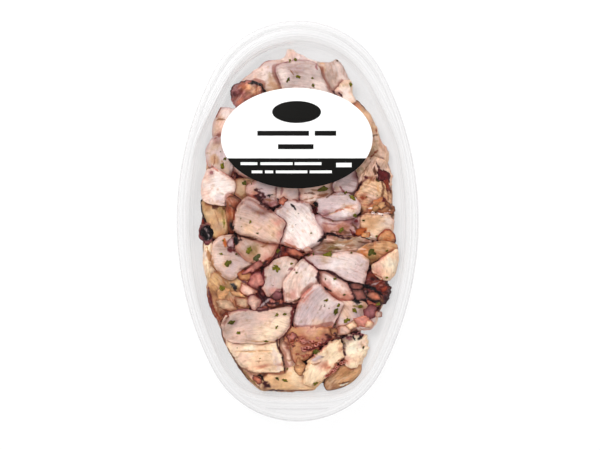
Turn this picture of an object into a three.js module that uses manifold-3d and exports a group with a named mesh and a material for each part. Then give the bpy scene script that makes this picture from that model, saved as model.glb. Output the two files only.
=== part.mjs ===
// Thin slices of cooked octopus in a clear oval tray, shut with a clear film that carries an oval label.
// Millimetres, +Z up. The origin lies on the surface that the tray stands on, under the middle of the oval.
// +Y runs along the tray to the round end of its well. The well's other end is straight.

import * as THREE from 'three';
import Module from 'manifold-3d';
import { mergeVertices } from 'three/addons/utils/BufferGeometryUtils.js';

const wasm = await Module();
wasm.setup();

// ---------------------------------------------------------------- driving dimensions

const TRAY = {
  halfLength: 120,
  halfWidth: 72.5,
  endRadius: 57,
  wall: 0.8,
  rimTop: 15,
  lipDrop: 2.4,
  lipRound: 1.1,
  rimWidth: 3.2,
  shelfDrop: 1,
  sides: 60,
};
const WELL = {
  brimInset: 6.3,
  floorInset: 9.8,
  headExtra: 4.2,
  tailBrimInset: 13.1,
  tailFloorInset: 17.3,
  tailCorner: 9,
  brimRound: 1,
  floorRound: 2,
};
const FILM = { inset: 0.8, thickness: 0.3 };
const LABEL = { at: [-0.5, 49.4], halfLength: 45.2, halfWidth: 30, thickness: 0.3, sides: 48 };
const SEAT_GAP = 0.3;
const BED = {
  height: 4.6,
  rim: 2.8,
  wave: 0.9,
  wallGap: 2.6,
  headRoom: 6,
  footStep: 1.8,
  sides: 48,
  notchAt: -59.5,
  notchDepth: 10,
  notchWidth: 7,
};
const SLICE_WALL_GAP = 0.6;
const HEAP = { cell: 1, gap: 0.3, spread: 2, blur: 4, settlings: 12 };
const SUCKER = { radius: 2.1, mouth: 1, stand: 0.8, root: 0.8, sides: 9 };
const FLAKE = { length: 3, width: 1.9, stand: 0.35, root: 0.9, sides: 6 };

const COLOURS = {
  clear: { color: 0xeef1f2, roughness: 0.08, metalness: 0, transparent: true, opacity: 0.3 },
  label: { color: 0xf7f7f5, roughness: 0.55, metalness: 0 },
  bed: { color: 0xb98f7c, roughness: 0.35, metalness: 0 },
  white: { color: 0xf2e2dd, roughness: 0.3, metalness: 0 },
  lilac: { color: 0xd6c1c4, roughness: 0.3, metalness: 0 },
  peach: { color: 0xe2bfa8, roughness: 0.3, metalness: 0 },
  cream: { color: 0xeed9b2, roughness: 0.3, metalness: 0 },
  tan: { color: 0xc9a27c, roughness: 0.32, metalness: 0 },
  brown: { color: 0x8a5a44, roughness: 0.34, metalness: 0 },
  skin: { color: 0x57262d, roughness: 0.3, metalness: 0 },
};

// The slices from the lowest to the topmost. Each one is a slab with a soft-cornered outline, as long and
// wide as size says: corners is how many it has, firstSide is where its first side faces, bend curves it
// like a bean, lift raises the edge that faces liftAt, and suckers are the places on its rim that carry one.
// Turns and facings are in degrees.
const SLICES = [
  { name: 'label_slice_1', colour: 'lilac', at: [-16, 66], size: [38, 30], turn: 20 },
  { name: 'label_slice_2', colour: 'peach', at: [15, 62], size: [38, 30], turn: -15 },
  { name: 'label_slice_3', colour: 'white', at: [-26, 43], size: [35, 30], turn: 60 },
  { name: 'label_slice_4', colour: 'lilac', at: [4, 37], size: [40, 29], turn: 0 },
  { name: 'right_slice_1', colour: 'peach', at: [41, 66], size: [26, 14], turn: -62, bend: -0.3 },
  { name: 'right_slice_2', colour: 'tan', at: [47, 46], size: [26, 16], turn: -76, bend: -0.3 },
  { name: 'left_slice_1', colour: 'peach', at: [-43.5, 60], size: [26, 16], turn: 64, bend: 0.3 },
  { name: 'left_slice_2', colour: 'peach', at: [-47.5, 38], size: [26, 16], turn: 83 },
  { name: 'head_slice_1', colour: 'peach', at: [-1.5, 95], size: [24, 26], turn: -85, corners: 3 },
  { name: 'head_slice_2', colour: 'tan', at: [22, 83.5], size: [31, 29], turn: -84, corners: 3 },
  { name: 'head_slice_3', colour: 'white', at: [-20, 84.5], size: [30, 21], turn: 18 },
  { name: 'head_slice_4', colour: 'lilac', at: [3.5, 81.5], size: [31, 27], turn: -4, firstSide: 0 },
  { name: 'head_slice_5', colour: 'skin', at: [-34, 76], size: [15, 12], turn: 45, bend: 0.5, lift: 1.5 },
  { name: 'head_slice_6', colour: 'peach', at: [30, 77.5], size: [13, 11], turn: -60, corners: 5 },
  { name: 'left_slice_3', colour: 'tan', at: [-52, -23], size: [27, 13], turn: 88, bend: 0.3 },
  { name: 'left_slice_4', colour: 'cream', at: [-49, 2.5], size: [25, 16], turn: 78 },
  { name: 'left_slice_5', colour: 'peach', at: [-32, 20], size: [22, 18], turn: -10 },
  { name: 'left_slice_6', colour: 'white', at: [-46, 20.5], size: [19, 17], turn: 10, lift: 1 },
  { name: 'left_slice_7', colour: 'brown', at: [-39.5, -1], size: [26, 12], turn: -78, lift: 1, liftAt: 200 },
  { name: 'left_slice_8', colour: 'tan', at: [-43.5, -41], size: [30, 21], turn: -64, corners: 5 },
  { name: 'left_slice_9', colour: 'lilac', at: [-39.5, -22.5], size: [32, 25], turn: -15 },
  { name: 'mid_slice_1', colour: 'lilac', at: [-19, 22], size: [26, 18], turn: 5 },
  { name: 'mid_slice_2', colour: 'peach', at: [-4, 15.5], size: [27, 17], turn: -5, corners: 5 },
  { name: 'mid_slice_3', colour: 'lilac', at: [12, 17], size: [27, 18], turn: -12 },
  { name: 'mid_slice_4', colour: 'lilac', at: [29, 24], size: [25, 18], turn: -10 },
  { name: 'right_slice_3', colour: 'tan', at: [44.5, 27.5], size: [22, 18], turn: 70, corners: 5 },
  { name: 'right_slice_4', colour: 'tan', at: [45.5, 15.5], size: [27, 18], turn: -25 },
  { name: 'right_slice_5', colour: 'brown', at: [50, 7], size: [18, 9], turn: -5, bend: 0.4 },
  { name: 'right_slice_6', colour: 'cream', at: [45.5, -2], size: [26, 17], turn: -8 },
  { name: 'right_slice_7', colour: 'brown', at: [53, -9.5], size: [13, 10], turn: -30, corners: 3 },
  { name: 'right_slice_8', colour: 'skin', at: [42, -41], size: [30, 22], turn: 15, corners: 5, lift: 1.5 },
  { name: 'mid_slice_5', colour: 'peach', at: [25, -3], size: [31, 20], turn: 4 },
  { name: 'mid_slice_6', colour: 'white', at: [25.5, 8.5], size: [31, 18], turn: -6, corners: 5, lift: 1 },
  { name: 'mid_slice_7', colour: 'tan', at: [24, -15.5], size: [36, 20], turn: 0 },
  { name: 'right_slice_9', colour: 'tan', at: [47, -19], size: [28, 17], turn: -8 },
  { name: 'right_slice_10', colour: 'white', at: [53, -28], size: [19, 16], turn: -80, lift: 1 },
  { name: 'mid_slice_8', colour: 'lilac', at: [21, -38.5], size: [26, 17], turn: -30, corners: 6 },
  { name: 'mid_slice_9', colour: 'white', at: [26, -27.5], size: [41, 22], turn: -13, lift: 1 },
  { name: 'mid_slice_10', colour: 'lilac', at: [30, -55], size: [28, 23], turn: -60 },
  { name: 'mid_slice_11', colour: 'white', at: [-12, -33.5], size: [31, 24], turn: 80, corners: 5 },
  { name: 'left_slice_10', colour: 'peach', at: [-23, -15.5], size: [33, 26], turn: -60 },
  { name: 'mid_slice_12', colour: 'white', at: [4, -34], size: [34, 25], turn: 70, corners: 5, lift: 1 },
  { name: 'mid_slice_13', colour: 'lilac', at: [9, -54.5], size: [36, 25], turn: 54 },
  { name: 'mid_slice_14', colour: 'white', at: [0.5, -4.5], size: [34, 30], turn: -48, corners: 5, lift: 1 },
  { name: 'left_slice_11', colour: 'lilac', at: [-23, -2.5], size: [36, 26], turn: -28, lift: 1, liftAt: 0 },
  { name: 'tail_slice_1', colour: 'tan', at: [-39, -67], size: [24, 15], turn: -58 },
  { name: 'tail_slice_2', colour: 'peach', at: [-28.5, -86], size: [30, 21], turn: -42 },
  { name: 'tail_slice_3', colour: 'cream', at: [-8, -82], size: [28, 24], turn: 80, corners: 5 },
  { name: 'tail_slice_4', colour: 'cream', at: [-8, -94.5], size: [43, 15], turn: -2, bend: 0.3 },
  { name: 'tail_slice_5', colour: 'tan', at: [26.5, -92], size: [23, 15], turn: 26, corners: 6 },
  { name: 'tail_slice_6', colour: 'peach', at: [8, -71.5], size: [36, 20], turn: 8, suckers: [-130, -95] },
  { name: 'tail_slice_7', colour: 'cream', at: [34, -75.5], size: [18, 16], turn: 20, suckers: [60] },
  { name: 'tail_slice_8', colour: 'cream', at: [17, -83], size: [30, 21], turn: 36, suckers: [-80, -40, 0] },
  { name: 'tail_slice_9', colour: 'cream', at: [-25, -75.5], size: [39, 22], turn: 5, lift: 1 },
  { name: 'tail_slice_10', colour: 'lilac', at: [-23.5, -60.5], size: [42, 23], turn: -3 },
];
const SLICE_STYLE = {
  corners: 4,
  firstSide: 0,
  crisp: 7,
  bend: 0,
  lift: 0,
  liftAt: 90,
  suckers: [],
  thickness: 2.3,
  edge: 0.42,
};
const SLICE_DETAIL = [
  { upTo: 18.5, sides: 12, shares: [0.6, 1] },
  { upTo: 28.5, sides: 14, shares: [0.66, 1] },
  { upTo: Infinity, sides: 16, shares: [0.45, 0.82, 1] },
];

// Heaps of small lobes between the slices, on the bed: a middle, how far they spread, their number and size.
const LOBES = [
  { at: [-29, -43], spread: 8, count: 6, size: 3.8 },
  { at: [41, -58], spread: 8, count: 6, size: 3.6 },
  { at: [-55, -9], spread: 2, count: 1, size: 4.2 },
  { at: [-30, 76], spread: 6, count: 2, size: 3.6 },
  { at: [40, 5], spread: 8, count: 2, size: 3.4 },
  { at: [-24, -98], spread: 6, count: 3, size: 3 },
  { at: [24, -68], spread: 5, count: 2, size: 3.4 },
];

// Places of the parsley flakes, with the turn of each one in degrees.
const FLAKES = [
  [-4.5, 96, 20], [-5.5, 84, 70], [0.5, 87.5, 110], [9, 86, 30], [16.5, 82, 140], [-43, 37.5, 60],
  [-45, 33, 10], [-32, 22.5, 150], [15, 19.5, 40], [33, 15, 75], [-28.5, -2, 35], [-24, -7.5, 120],
  [-46, -20, 80], [-36.5, -19.5, 15], [-28.5, -17.5, 50], [-25.5, -23, 165], [-42, -25, 100],
  [-12.5, -29, 60], [-0.5, -31, 25], [-45.5, -40, 45], [16.5, -34.5, 130], [22.5, -34, 80], [28, -45, 10],
  [17, -47.5, 95], [24, -52, 55], [33.5, -54, 20], [44, -18, 65], [53.5, -17, 155], [-39.5, -61, 30],
  [-36, -67.5, 115], [-13, -56, 70], [-19, -72, 40], [-12, -94, 15], [-7.5, -96, 85], [10.5, -98, 125],
  [9, -79.5, 50], [-6, -89, 0], [1, -20, 60],
];

// ---------------------------------------------------------------- outlines

const sideRadius = (TRAY.halfWidth ** 2 - TRAY.endRadius ** 2 + (TRAY.halfLength - TRAY.endRadius) ** 2)
  / (2 * (TRAY.halfWidth - TRAY.endRadius));
const sideCentre = sideRadius - TRAY.halfWidth;
const endCentre = TRAY.halfLength - TRAY.endRadius;
const joinAngle = Math.atan2(endCentre, sideCentre);

const radians = THREE.MathUtils.degToRad;
const lerp = THREE.MathUtils.lerp;
const smoothstep = THREE.MathUtils.smoothstep;

// Distance from the middle, at this angle, to the four-arc oval that lies this far inside the tray's edge.
function ovalRadius(angle, inset) {
  const across = Math.abs(Math.cos(angle));
  const along = Math.abs(Math.sin(angle));
  const joinX = (sideRadius - inset) * Math.cos(joinAngle) - sideCentre;
  const joinY = (sideRadius - inset) * Math.sin(joinAngle);
  if (along * joinX > across * joinY) {
    return endCentre * along + Math.sqrt((TRAY.endRadius - inset) ** 2 - (endCentre * across) ** 2);
  }
  return -sideCentre * across + Math.sqrt((sideRadius - inset) ** 2 - (sideCentre * along) ** 2);
}

// The smaller of two distances, with the corner between them rounded over the given width.
function smoothMin(a, b, width) {
  const overlap = Math.max(width - Math.abs(a - b), 0);
  return Math.min(a, b) - overlap ** 2 / (4 * width);
}

// Distance from the middle to the well's wall: depth is 0 at its brim and 1 at its floor.
function wellRadius(angle, depth) {
  const head = smoothstep(Math.sin(angle), 0.55, 0.97);
  const inset = lerp(WELL.brimInset, WELL.floorInset, depth) + WELL.headExtra * head;
  const tail = TRAY.halfLength - lerp(WELL.tailBrimInset, WELL.tailFloorInset, depth);
  const toTail = Math.max(-Math.sin(angle), 0.01);
  return smoothMin(ovalRadius(angle, inset), tail / toTail, WELL.tailCorner);
}

// A place moved towards the middle until it is within the limit for its angle.
function keepInside([x, y], limit) {
  const share = Math.min(1, limit(Math.atan2(y, x)) / Math.hypot(x, y));
  return [x * share, y * share];
}

// ---------------------------------------------------------------- meshes and solids

// A closed skin over rings of equal length, which run from a middle below round to a middle above.
function skinOverRings(below, rings, above) {
  const count = rings[0].length;
  const points = [below, ...rings.flat(), above];
  const faces = [];
  const at = (ring, side) => 1 + ring * count + (side % count);
  const last = rings.length - 1;
  for (let side = 0; side < count; side += 1) {
    faces.push([0, at(0, side + 1), at(0, side)]);
    for (let ring = 0; ring < last; ring += 1) {
      faces.push([at(ring, side), at(ring, side + 1), at(ring + 1, side)]);
      faces.push([at(ring, side + 1), at(ring + 1, side + 1), at(ring + 1, side)]);
    }
    faces.push([points.length - 1, at(last, side), at(last, side + 1)]);
  }
  return { points, faces };
}

// A ring of points at the given distance and height for each angle.
function polarRing(sides, radius, height) {
  return Array.from({ length: sides }, (_, side) => {
    const angle = (side / sides) * 2 * Math.PI;
    const distance = radius(angle);
    return [distance * Math.cos(angle), distance * Math.sin(angle), height];
  });
}

function toGeometry({ points, faces }) {
  const geometry = new THREE.BufferGeometry();
  geometry.setAttribute('position', new THREE.Float32BufferAttribute(points.flat(), 3));
  geometry.setIndex(faces.flat());
  return geometry;
}

function toSolid(geometry) {
  const bare = geometry.clone();
  bare.deleteAttribute('normal');
  bare.deleteAttribute('uv');
  const merged = mergeVertices(bare, 1e-4);
  return new wasm.Manifold(new wasm.Mesh({
    numProp: 3,
    vertProperties: new Float32Array(merged.attributes.position.array),
    triVerts: new Uint32Array(merged.index.array),
  }));
}

function fromSolid(solid) {
  const mesh = solid.getMesh();
  const geometry = new THREE.BufferGeometry();
  geometry.setAttribute('position', new THREE.BufferAttribute(new Float32Array(mesh.vertProperties), 3));
  geometry.setIndex(new THREE.BufferAttribute(new Uint32Array(mesh.triVerts), 1));
  return geometry;
}

function makeMesh(name, geometry, colour) {
  const shown = geometry.clone();
  shown.computeVertexNormals();
  const mesh = new THREE.Mesh(shown, new THREE.MeshStandardMaterial(COLOURS[colour]));
  mesh.name = name;
  return mesh;
}

// ---------------------------------------------------------------- tray, film and label

// A thin shell: flat foot, sloping well, shallow shelf round its brim, flat rim and a lip turned down.
function trayGeometry() {
  const { wall, rimTop, lipDrop, lipRound, rimWidth, shelfDrop, sides } = TRAY;
  const oval = (inset) => (angle) => ovalRadius(angle, inset);
  const well = (depth, out) => (angle) => wellRadius(angle, depth) + out;
  const shelf = rimTop - shelfDrop;
  const ring = (radius, height) => polarRing(sides, radius, height);
  const rings = [
    ring(well(1, wall - WELL.floorRound), 0),
    ring(well(1, wall * 0.7), 0.7),
    ring(well(0.88, wall), WELL.floorRound),
    ring(well(0, wall), shelf - wall - WELL.brimRound),
    ring(well(0, wall + WELL.brimRound), shelf - wall),
    ring(oval(rimWidth + wall), shelf - wall),
    ring(oval(rimWidth), rimTop - wall),
    ring(oval(lipRound + wall), rimTop - wall),
    ring(oval(wall), rimTop - lipDrop),
    ring(oval(0), rimTop - lipDrop),
    ring(oval(0.2), rimTop - lipRound),
    ring(oval(lipRound), rimTop),
    ring(oval(rimWidth), rimTop),
    ring(oval(rimWidth + wall), shelf),
    ring(well(0, WELL.brimRound), shelf),
    ring(well(0, 0), shelf - WELL.brimRound),
    ring(well(0.88, 0), WELL.floorRound + wall),
    ring(well(1, -WELL.floorRound), wall),
  ];
  return toGeometry(skinOverRings([0, 0, 0], rings, [0, 0, wall]));
}

// A flat sheet between two heights, with the outline that the distance function gives.
function sheetGeometry(sides, radius, low, high, at = [0, 0]) {
  const rings = [polarRing(sides, radius, low), polarRing(sides, radius, high)];
  const geometry = toGeometry(skinOverRings([0, 0, low], rings, [0, 0, high]));
  return geometry.translate(at[0], at[1], 0);
}

function labelRadius(angle) {
  return LABEL.halfLength * LABEL.halfWidth
    / Math.hypot(LABEL.halfWidth * Math.cos(angle), LABEL.halfLength * Math.sin(angle));
}

// ---------------------------------------------------------------- the heap's height

// How high the tray's floor stands at a place, with the fillet at the foot of its wall.
function floorHeight(x, y) {
  const fromWall = wellRadius(Math.atan2(y, x), 1) - Math.hypot(x, y);
  const climb = THREE.MathUtils.clamp(1 - fromWall / WELL.floorRound, 0, 1);
  return TRAY.wall + WELL.floorRound * climb;
}

// How high the heap stands over each cell of the tray, and which piece is topmost there.
const columns = Math.ceil((2 * TRAY.halfWidth) / HEAP.cell) + 1;
const rows = Math.ceil((2 * TRAY.halfLength) / HEAP.cell) + 1;
const heapHeight = Float64Array.from({ length: columns * rows }, (_, cell) => {
  const x = (cell % columns) * HEAP.cell - TRAY.halfWidth;
  const y = Math.floor(cell / columns) * HEAP.cell - TRAY.halfLength;
  return floorHeight(x, y);
});
const heapOwner = new Array(columns * rows).fill(null);

function cellAt(x, y) {
  const column = Math.round((x + TRAY.halfWidth) / HEAP.cell);
  const row = Math.round((y + TRAY.halfLength) / HEAP.cell);
  return [THREE.MathUtils.clamp(column, 0, columns - 1), THREE.MathUtils.clamp(row, 0, rows - 1)];
}

// A map whose every cell holds the pick of the values near it, along one axis and then along the other.
function spreadMap(values, reach, pick) {
  const step = (source, stride, count, index) => source.map((_, cell) => {
    const found = [];
    for (let shift = -reach; shift <= reach; shift += 1) {
      const place = THREE.MathUtils.clamp(index(cell) + shift, 0, count - 1);
      found.push(source[cell + (place - index(cell)) * stride]);
    }
    return pick(found);
  });
  const along = step(values, 1, columns, (cell) => cell % columns);
  return step(along, columns, rows, (cell) => Math.floor(cell / columns));
}

const largest = (found) => Math.max(...found);
const average = (found) => found.reduce((sum, value) => sum + value, 0) / found.length;

// Highest point of the heap next to a place.
function heapTop(x, y) {
  const [column, row] = cellAt(x, y);
  let top = 0;
  for (let down = Math.max(row - 1, 0); down <= Math.min(row + 1, rows - 1); down += 1) {
    for (let right = Math.max(column - 1, 0); right <= Math.min(column + 1, columns - 1); right += 1) {
      top = Math.max(top, heapHeight[down * columns + right]);
    }
  }
  return top;
}

// Calls visit on an even lattice of points over a triangle.
function overTriangle([a, b, c], spacing, visit) {
  const spans = [[a, b], [b, c], [c, a]].map(([from, to]) => Math.hypot(from[0] - to[0], from[1] - to[1]));
  const longest = Math.max(...spans);
  const steps = Math.max(2, Math.ceil(longest / spacing));
  for (let i = 0; i <= steps; i += 1) {
    for (let j = 0; j <= steps - i; j += 1) {
      const weights = [i / steps, j / steps, 1 - (i + j) / steps];
      visit([0, 1, 2].map((axis) => a[axis] * weights[0] + b[axis] * weights[1] + c[axis] * weights[2]));
    }
  }
}

// Marks a piece's faces on the heap.
function coverHeap(name, geometry) {
  const { array } = geometry.attributes.position;
  const index = geometry.index.array;
  const corner = (place) => [...array.slice(index[place] * 3, index[place] * 3 + 3)];
  for (let face = 0; face < index.length; face += 3) {
    overTriangle([corner(face), corner(face + 1), corner(face + 2)], HEAP.cell / 2, ([x, y, z]) => {
      const [column, row] = cellAt(x, y);
      const cell = row * columns + column;
      if (z > heapHeight[cell]) {
        heapHeight[cell] = z;
        heapOwner[cell] = name;
      }
    });
  }
}

// ---------------------------------------------------------------- the bed

// Even numbers between 0 and 1 that never repeat, the same each time.
function scatterNumbers(seed) {
  const golden = 0.6180339887;
  const second = 0.7548776662;
  return { first: (seed * golden) % 1, second: (seed * second) % 1 };
}

// The heap's lower part: a low cake of packed slices with soft waves, and a notch where bare tray shows.
function bedRadius(angle) {
  const away = (THREE.MathUtils.radToDeg(angle) - BED.notchAt + 540) % 360 - 180;
  const notch = BED.notchDepth * Math.exp(-((away / BED.notchWidth) ** 2));
  const ragged = 0.6 * Math.sin(23 * angle) * Math.sin(7 * angle + 1);
  const head = BED.headRoom * smoothstep(Math.sin(angle), 0.6, 0.95);
  return wellRadius(angle, 1) - BED.wallGap - head - notch + ragged;
}

function bedHeight(x, y) {
  return BED.height + BED.wave * Math.sin(x / 6.5 + 1) * Math.cos(y / 8) + 0.4 * Math.sin((x + y) / 4.2);
}

function lobeSolids({ at, spread, count, size }, group) {
  return Array.from({ length: count }, (_, lobe) => {
    const { first, second } = scatterNumbers(group * 17 + lobe + 1);
    const distance = spread * Math.sqrt((lobe + 0.4) / count);
    const angle = 2 * Math.PI * first;
    const wanted = [at[0] + distance * Math.cos(angle), at[1] + distance * Math.sin(angle)];
    const [x, y] = keepInside(wanted, (around) => bedRadius(around) - size * 1.3);
    const shape = new THREE.SphereGeometry(1, 6, 4);
    shape.rotateX(Math.PI / 2);
    shape.scale(size * (0.8 + 0.5 * second), size * (0.65 + 0.3 * first), size * 0.5);
    shape.rotateZ(Math.PI * second);
    shape.translate(x, y, bedHeight(x, y));
    return toSolid(shape);
  });
}

function bedSolid() {
  const shares = [0.35, 0.6, 0.8, 0.93, 1];
  const floor = TRAY.wall + SEAT_GAP;
  const cake = shares.map((share) => polarRing(BED.sides, (angle) => share * bedRadius(angle), 0)
    .map(([x, y]) => [x, y, share === 1 ? BED.rim : bedHeight(x, y)]));
  const foot = polarRing(BED.sides, (angle) => bedRadius(angle) - BED.footStep, floor);
  const cakeSkin = skinOverRings([0, 0, floor], [foot, ...cake.reverse()], [0, 0, bedHeight(0, 0)]);
  const parts = [toSolid(toGeometry(cakeSkin)), ...LOBES.flatMap(lobeSolids)];
  return wasm.Manifold.union(parts);
}

// ---------------------------------------------------------------- slices

// How far a slice reaches from its middle, as a share of its half size: the soft minimum over its straight
// sides, which face round it unevenly and lie at uneven distances.
function sliceReach({ corners, firstSide, crisp }, around, seed) {
  let closeness = 0;
  for (let side = 0; side < corners; side += 1) {
    const { first, second } = scatterNumbers(seed * 7 + side + 1);
    const facing = radians(firstSide) + (2 * Math.PI * (side + 0.3 * (first - 0.5))) / corners;
    const distance = 1.1 * Math.cos(Math.PI / corners) * (0.9 + 0.2 * second);
    closeness += Math.max(0, Math.cos(around - facing) / distance) ** crisp;
  }
  return closeness ** (-1 / crisp);
}

// A point on a slice's outline, kept inside the well.
function slicePoint(slice, around, seed) {
  const { at, size: [length, width], turn, bend } = slice;
  const reach = sliceReach(slice, around, seed);
  const along = reach * Math.cos(around);
  const u = (length / 2) * along;
  const v = (width / 2) * (reach * Math.sin(around) + bend * (along ** 2 - 0.4));
  const tilt = radians(turn);
  const x = at[0] + u * Math.cos(tilt) - v * Math.sin(tilt);
  const y = at[1] + u * Math.sin(tilt) + v * Math.cos(tilt);
  return keepInside([x, y], (angle) => wellRadius(angle, 1) - SLICE_WALL_GAP);
}

// Lifts the corners of a slice's underside, in place, until the whole underside clears the heap.
function clearHeap(points, faces) {
  for (let pass = 0; pass < HEAP.settlings; pass += 1) {
    const lift = new Array(points.length).fill(0);
    for (const face of faces) {
      let need = 0;
      overTriangle(face.map((corner) => points[corner]), HEAP.cell / 2, ([x, y, z]) => {
        need = Math.max(need, heapTop(x, y) + HEAP.gap - z);
      });
      for (const corner of face) {
        lift[corner] = Math.max(lift[corner], need);
      }
    }
    points.forEach((point, place) => {
      point[2] += lift[place];
    });
  }
}

// A slab that rests on the heap below it and follows its rises and hollows, thinner towards its edge.
function sliceSolid(given, seed) {
  const slice = { ...SLICE_STYLE, ...given };
  const { sides, shares } = SLICE_DETAIL.find(({ upTo }) => slice.size[0] < upTo);
  const aroundAt = (side) => (side / sides) * 2 * Math.PI;
  const rim = Array.from({ length: sides }, (_, side) => slicePoint(slice, aroundAt(side), seed));
  const middle = [0, 1].map((axis) => average(rim.map((point) => point[axis])));
  const rest = spreadMap(spreadMap(heapHeight, HEAP.spread, largest), HEAP.blur, average);
  const underPoint = (side, share) => {
    const [x, y] = [0, 1].map((axis) => lerp(middle[axis], rim[side][axis], share));
    const [column, row] = cellAt(x, y);
    const facing = Math.max(0, Math.cos(aroundAt(side) + radians(slice.turn - slice.liftAt)));
    return [x, y, rest[row * columns + column] + HEAP.gap + slice.lift * facing * share ** 2];
  };
  const centre = underPoint(0, 0);
  const under = shares.map((share) => rim.map((_, side) => underPoint(side, share)));
  const underside = skinOverRings(centre, under, centre);
  const top = underside.points.length - 1;
  clearHeap(underside.points.slice(0, top), underside.faces.filter((face) => !face.includes(top)));
  const fullness = (share) => slice.edge + (1 - slice.edge) * Math.sqrt(1 - share ** 4);
  const raised = ([x, y, z], share) => [x, y, z + slice.thickness * fullness(share)];
  const over = under.map((ring, order) => ring.map((point) => raised(point, shares[order]))).reverse();
  const slab = toSolid(toGeometry(skinOverRings(centre, [...under, ...over], raised(centre, 0))));
  const suckers = slice.suckers.map((facing) => {
    const side = Math.round(((facing + 360) / 360) * sides) % sides;
    return suckerSolid(...over[1][side]);
  });
  return wasm.Manifold.union([slab, ...suckers]);
}

// A short cup with a dimpled mouth, standing on a slice.
function suckerSolid(x, y, z) {
  const { radius, mouth, root, stand, sides } = SUCKER;
  const profile = [
    [0, -root],
    [radius * 0.8, -root],
    [radius, stand * 0.4],
    [radius * 0.75, stand],
    [mouth, stand],
    [0, stand * 0.3],
  ].map(([across, up]) => new THREE.Vector2(across, up));
  const shape = new THREE.LatheGeometry(profile, sides);
  shape.rotateX(Math.PI / 2);
  shape.translate(x, y, z);
  return toSolid(shape);
}

// ---------------------------------------------------------------- flakes

// The piece that lies topmost all round a flake's place, or null where another piece's edge is near.
function ownerAround(x, y) {
  const [column, row] = cellAt(x, y);
  const owner = heapOwner[row * columns + column];
  const reach = Math.ceil(FLAKE.length / 2 / HEAP.cell) + 1;
  for (let down = -reach; down <= reach; down += 1) {
    for (let right = -reach; right <= reach; right += 1) {
      if (heapOwner[(row + down) * columns + column + right] !== owner) {
        return null;
      }
    }
  }
  return owner;
}

// A torn leaf flake: a low prism rooted in the piece that it sticks to.
function flakeSolid(x, y, turn, seed) {
  const outline = new THREE.Shape(Array.from({ length: FLAKE.sides }, (_, side) => {
    const angle = (side / FLAKE.sides) * 2 * Math.PI;
    const ragged = 0.8 + 0.2 * Math.sin(5 * side + seed);
    return new THREE.Vector2(
      (FLAKE.length / 2) * ragged * Math.cos(angle),
      (FLAKE.width / 2) * ragged * Math.sin(angle),
    );
  }));
  const shape = new THREE.ExtrudeGeometry(outline, { depth: FLAKE.root + FLAKE.stand, bevelEnabled: false });
  shape.rotateZ(radians(turn));
  const [column, row] = cellAt(x, y);
  shape.translate(x, y, heapHeight[row * columns + column] - FLAKE.root);
  return toSolid(shape);
}

// ---------------------------------------------------------------- the whole

const pack = new THREE.Group();
pack.add(makeMesh('tray', trayGeometry(), 'clear'));

const pieces = new Map([['octopus_bed', { solid: bedSolid(), colour: 'bed' }]]);
coverHeap('octopus_bed', fromSolid(pieces.get('octopus_bed').solid));
SLICES.forEach((slice, order) => {
  const solid = sliceSolid(slice, order + 1);
  pieces.set(slice.name, { solid, colour: slice.colour });
  coverHeap(slice.name, fromSolid(solid));
});
FLAKES.forEach(([x, y, turn], order) => {
  const owner = ownerAround(x, y);
  if (owner) {
    const piece = pieces.get(owner);
    piece.solid = piece.solid.add(flakeSolid(x, y, turn, order));
  }
});
for (const [name, { solid, colour }] of pieces) {
  pack.add(makeMesh(name, fromSolid(solid), colour));
}

const filmLow = TRAY.rimTop + SEAT_GAP;
const filmHigh = filmLow + FILM.thickness;
const filmRadius = (angle) => ovalRadius(angle, FILM.inset);
pack.add(makeMesh('film', sheetGeometry(TRAY.sides, filmRadius, filmLow, filmHigh), 'clear'));

const labelLow = filmHigh + SEAT_GAP;
const labelHigh = labelLow + LABEL.thickness;
pack.add(makeMesh('label', sheetGeometry(LABEL.sides, labelRadius, labelLow, labelHigh, LABEL.at), 'label'));

export default pack;
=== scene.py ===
"""Looks of a shut oval tray of sliced cooked octopus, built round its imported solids.

Sizes are in millimetres in the solids' own frame: +Y runs to the round end of the well and +Z is up. A mesh
is turned to metres where it is made. Angles in the tables are in degrees.
"""

import logging
import math
from dataclasses import dataclass
from dataclasses import field
from enum import Enum
from typing import Optional
from typing import Sequence

import bpy
import numpy as np
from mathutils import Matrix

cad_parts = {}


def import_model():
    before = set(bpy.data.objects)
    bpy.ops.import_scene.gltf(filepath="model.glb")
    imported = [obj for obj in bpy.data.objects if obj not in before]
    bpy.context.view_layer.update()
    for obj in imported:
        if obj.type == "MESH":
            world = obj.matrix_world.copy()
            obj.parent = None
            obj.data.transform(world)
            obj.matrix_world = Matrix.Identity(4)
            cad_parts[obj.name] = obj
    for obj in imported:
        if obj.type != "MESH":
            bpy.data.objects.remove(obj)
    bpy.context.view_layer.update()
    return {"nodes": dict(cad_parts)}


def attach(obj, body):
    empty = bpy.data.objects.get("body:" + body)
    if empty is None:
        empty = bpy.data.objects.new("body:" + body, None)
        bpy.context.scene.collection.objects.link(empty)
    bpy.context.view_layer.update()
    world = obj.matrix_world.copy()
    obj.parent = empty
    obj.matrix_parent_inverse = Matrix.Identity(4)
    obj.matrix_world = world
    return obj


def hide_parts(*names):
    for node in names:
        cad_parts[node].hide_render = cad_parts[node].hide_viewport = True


MM = 0.001
BODY = "root"
FULL_TURN = 2 * math.pi
QUARTER_TURN = math.pi / 2

Array = np.ndarray
Place = tuple[float, float]
Colour = tuple[float, float, float]
Socket = bpy.types.NodeSocket

log = logging.getLogger("octopus_tray")


# ---------------------------------------------------------------- colours


def to_linear(colour: Sequence[float]) -> Array:
    """Turns a display colour of 0 to 255 into the linear colour that a material takes."""
    share = np.asarray(colour, float) / 255
    return np.where(share <= 0.04045, share / 12.92, ((share + 0.055) / 1.055) ** 2.4)


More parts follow.
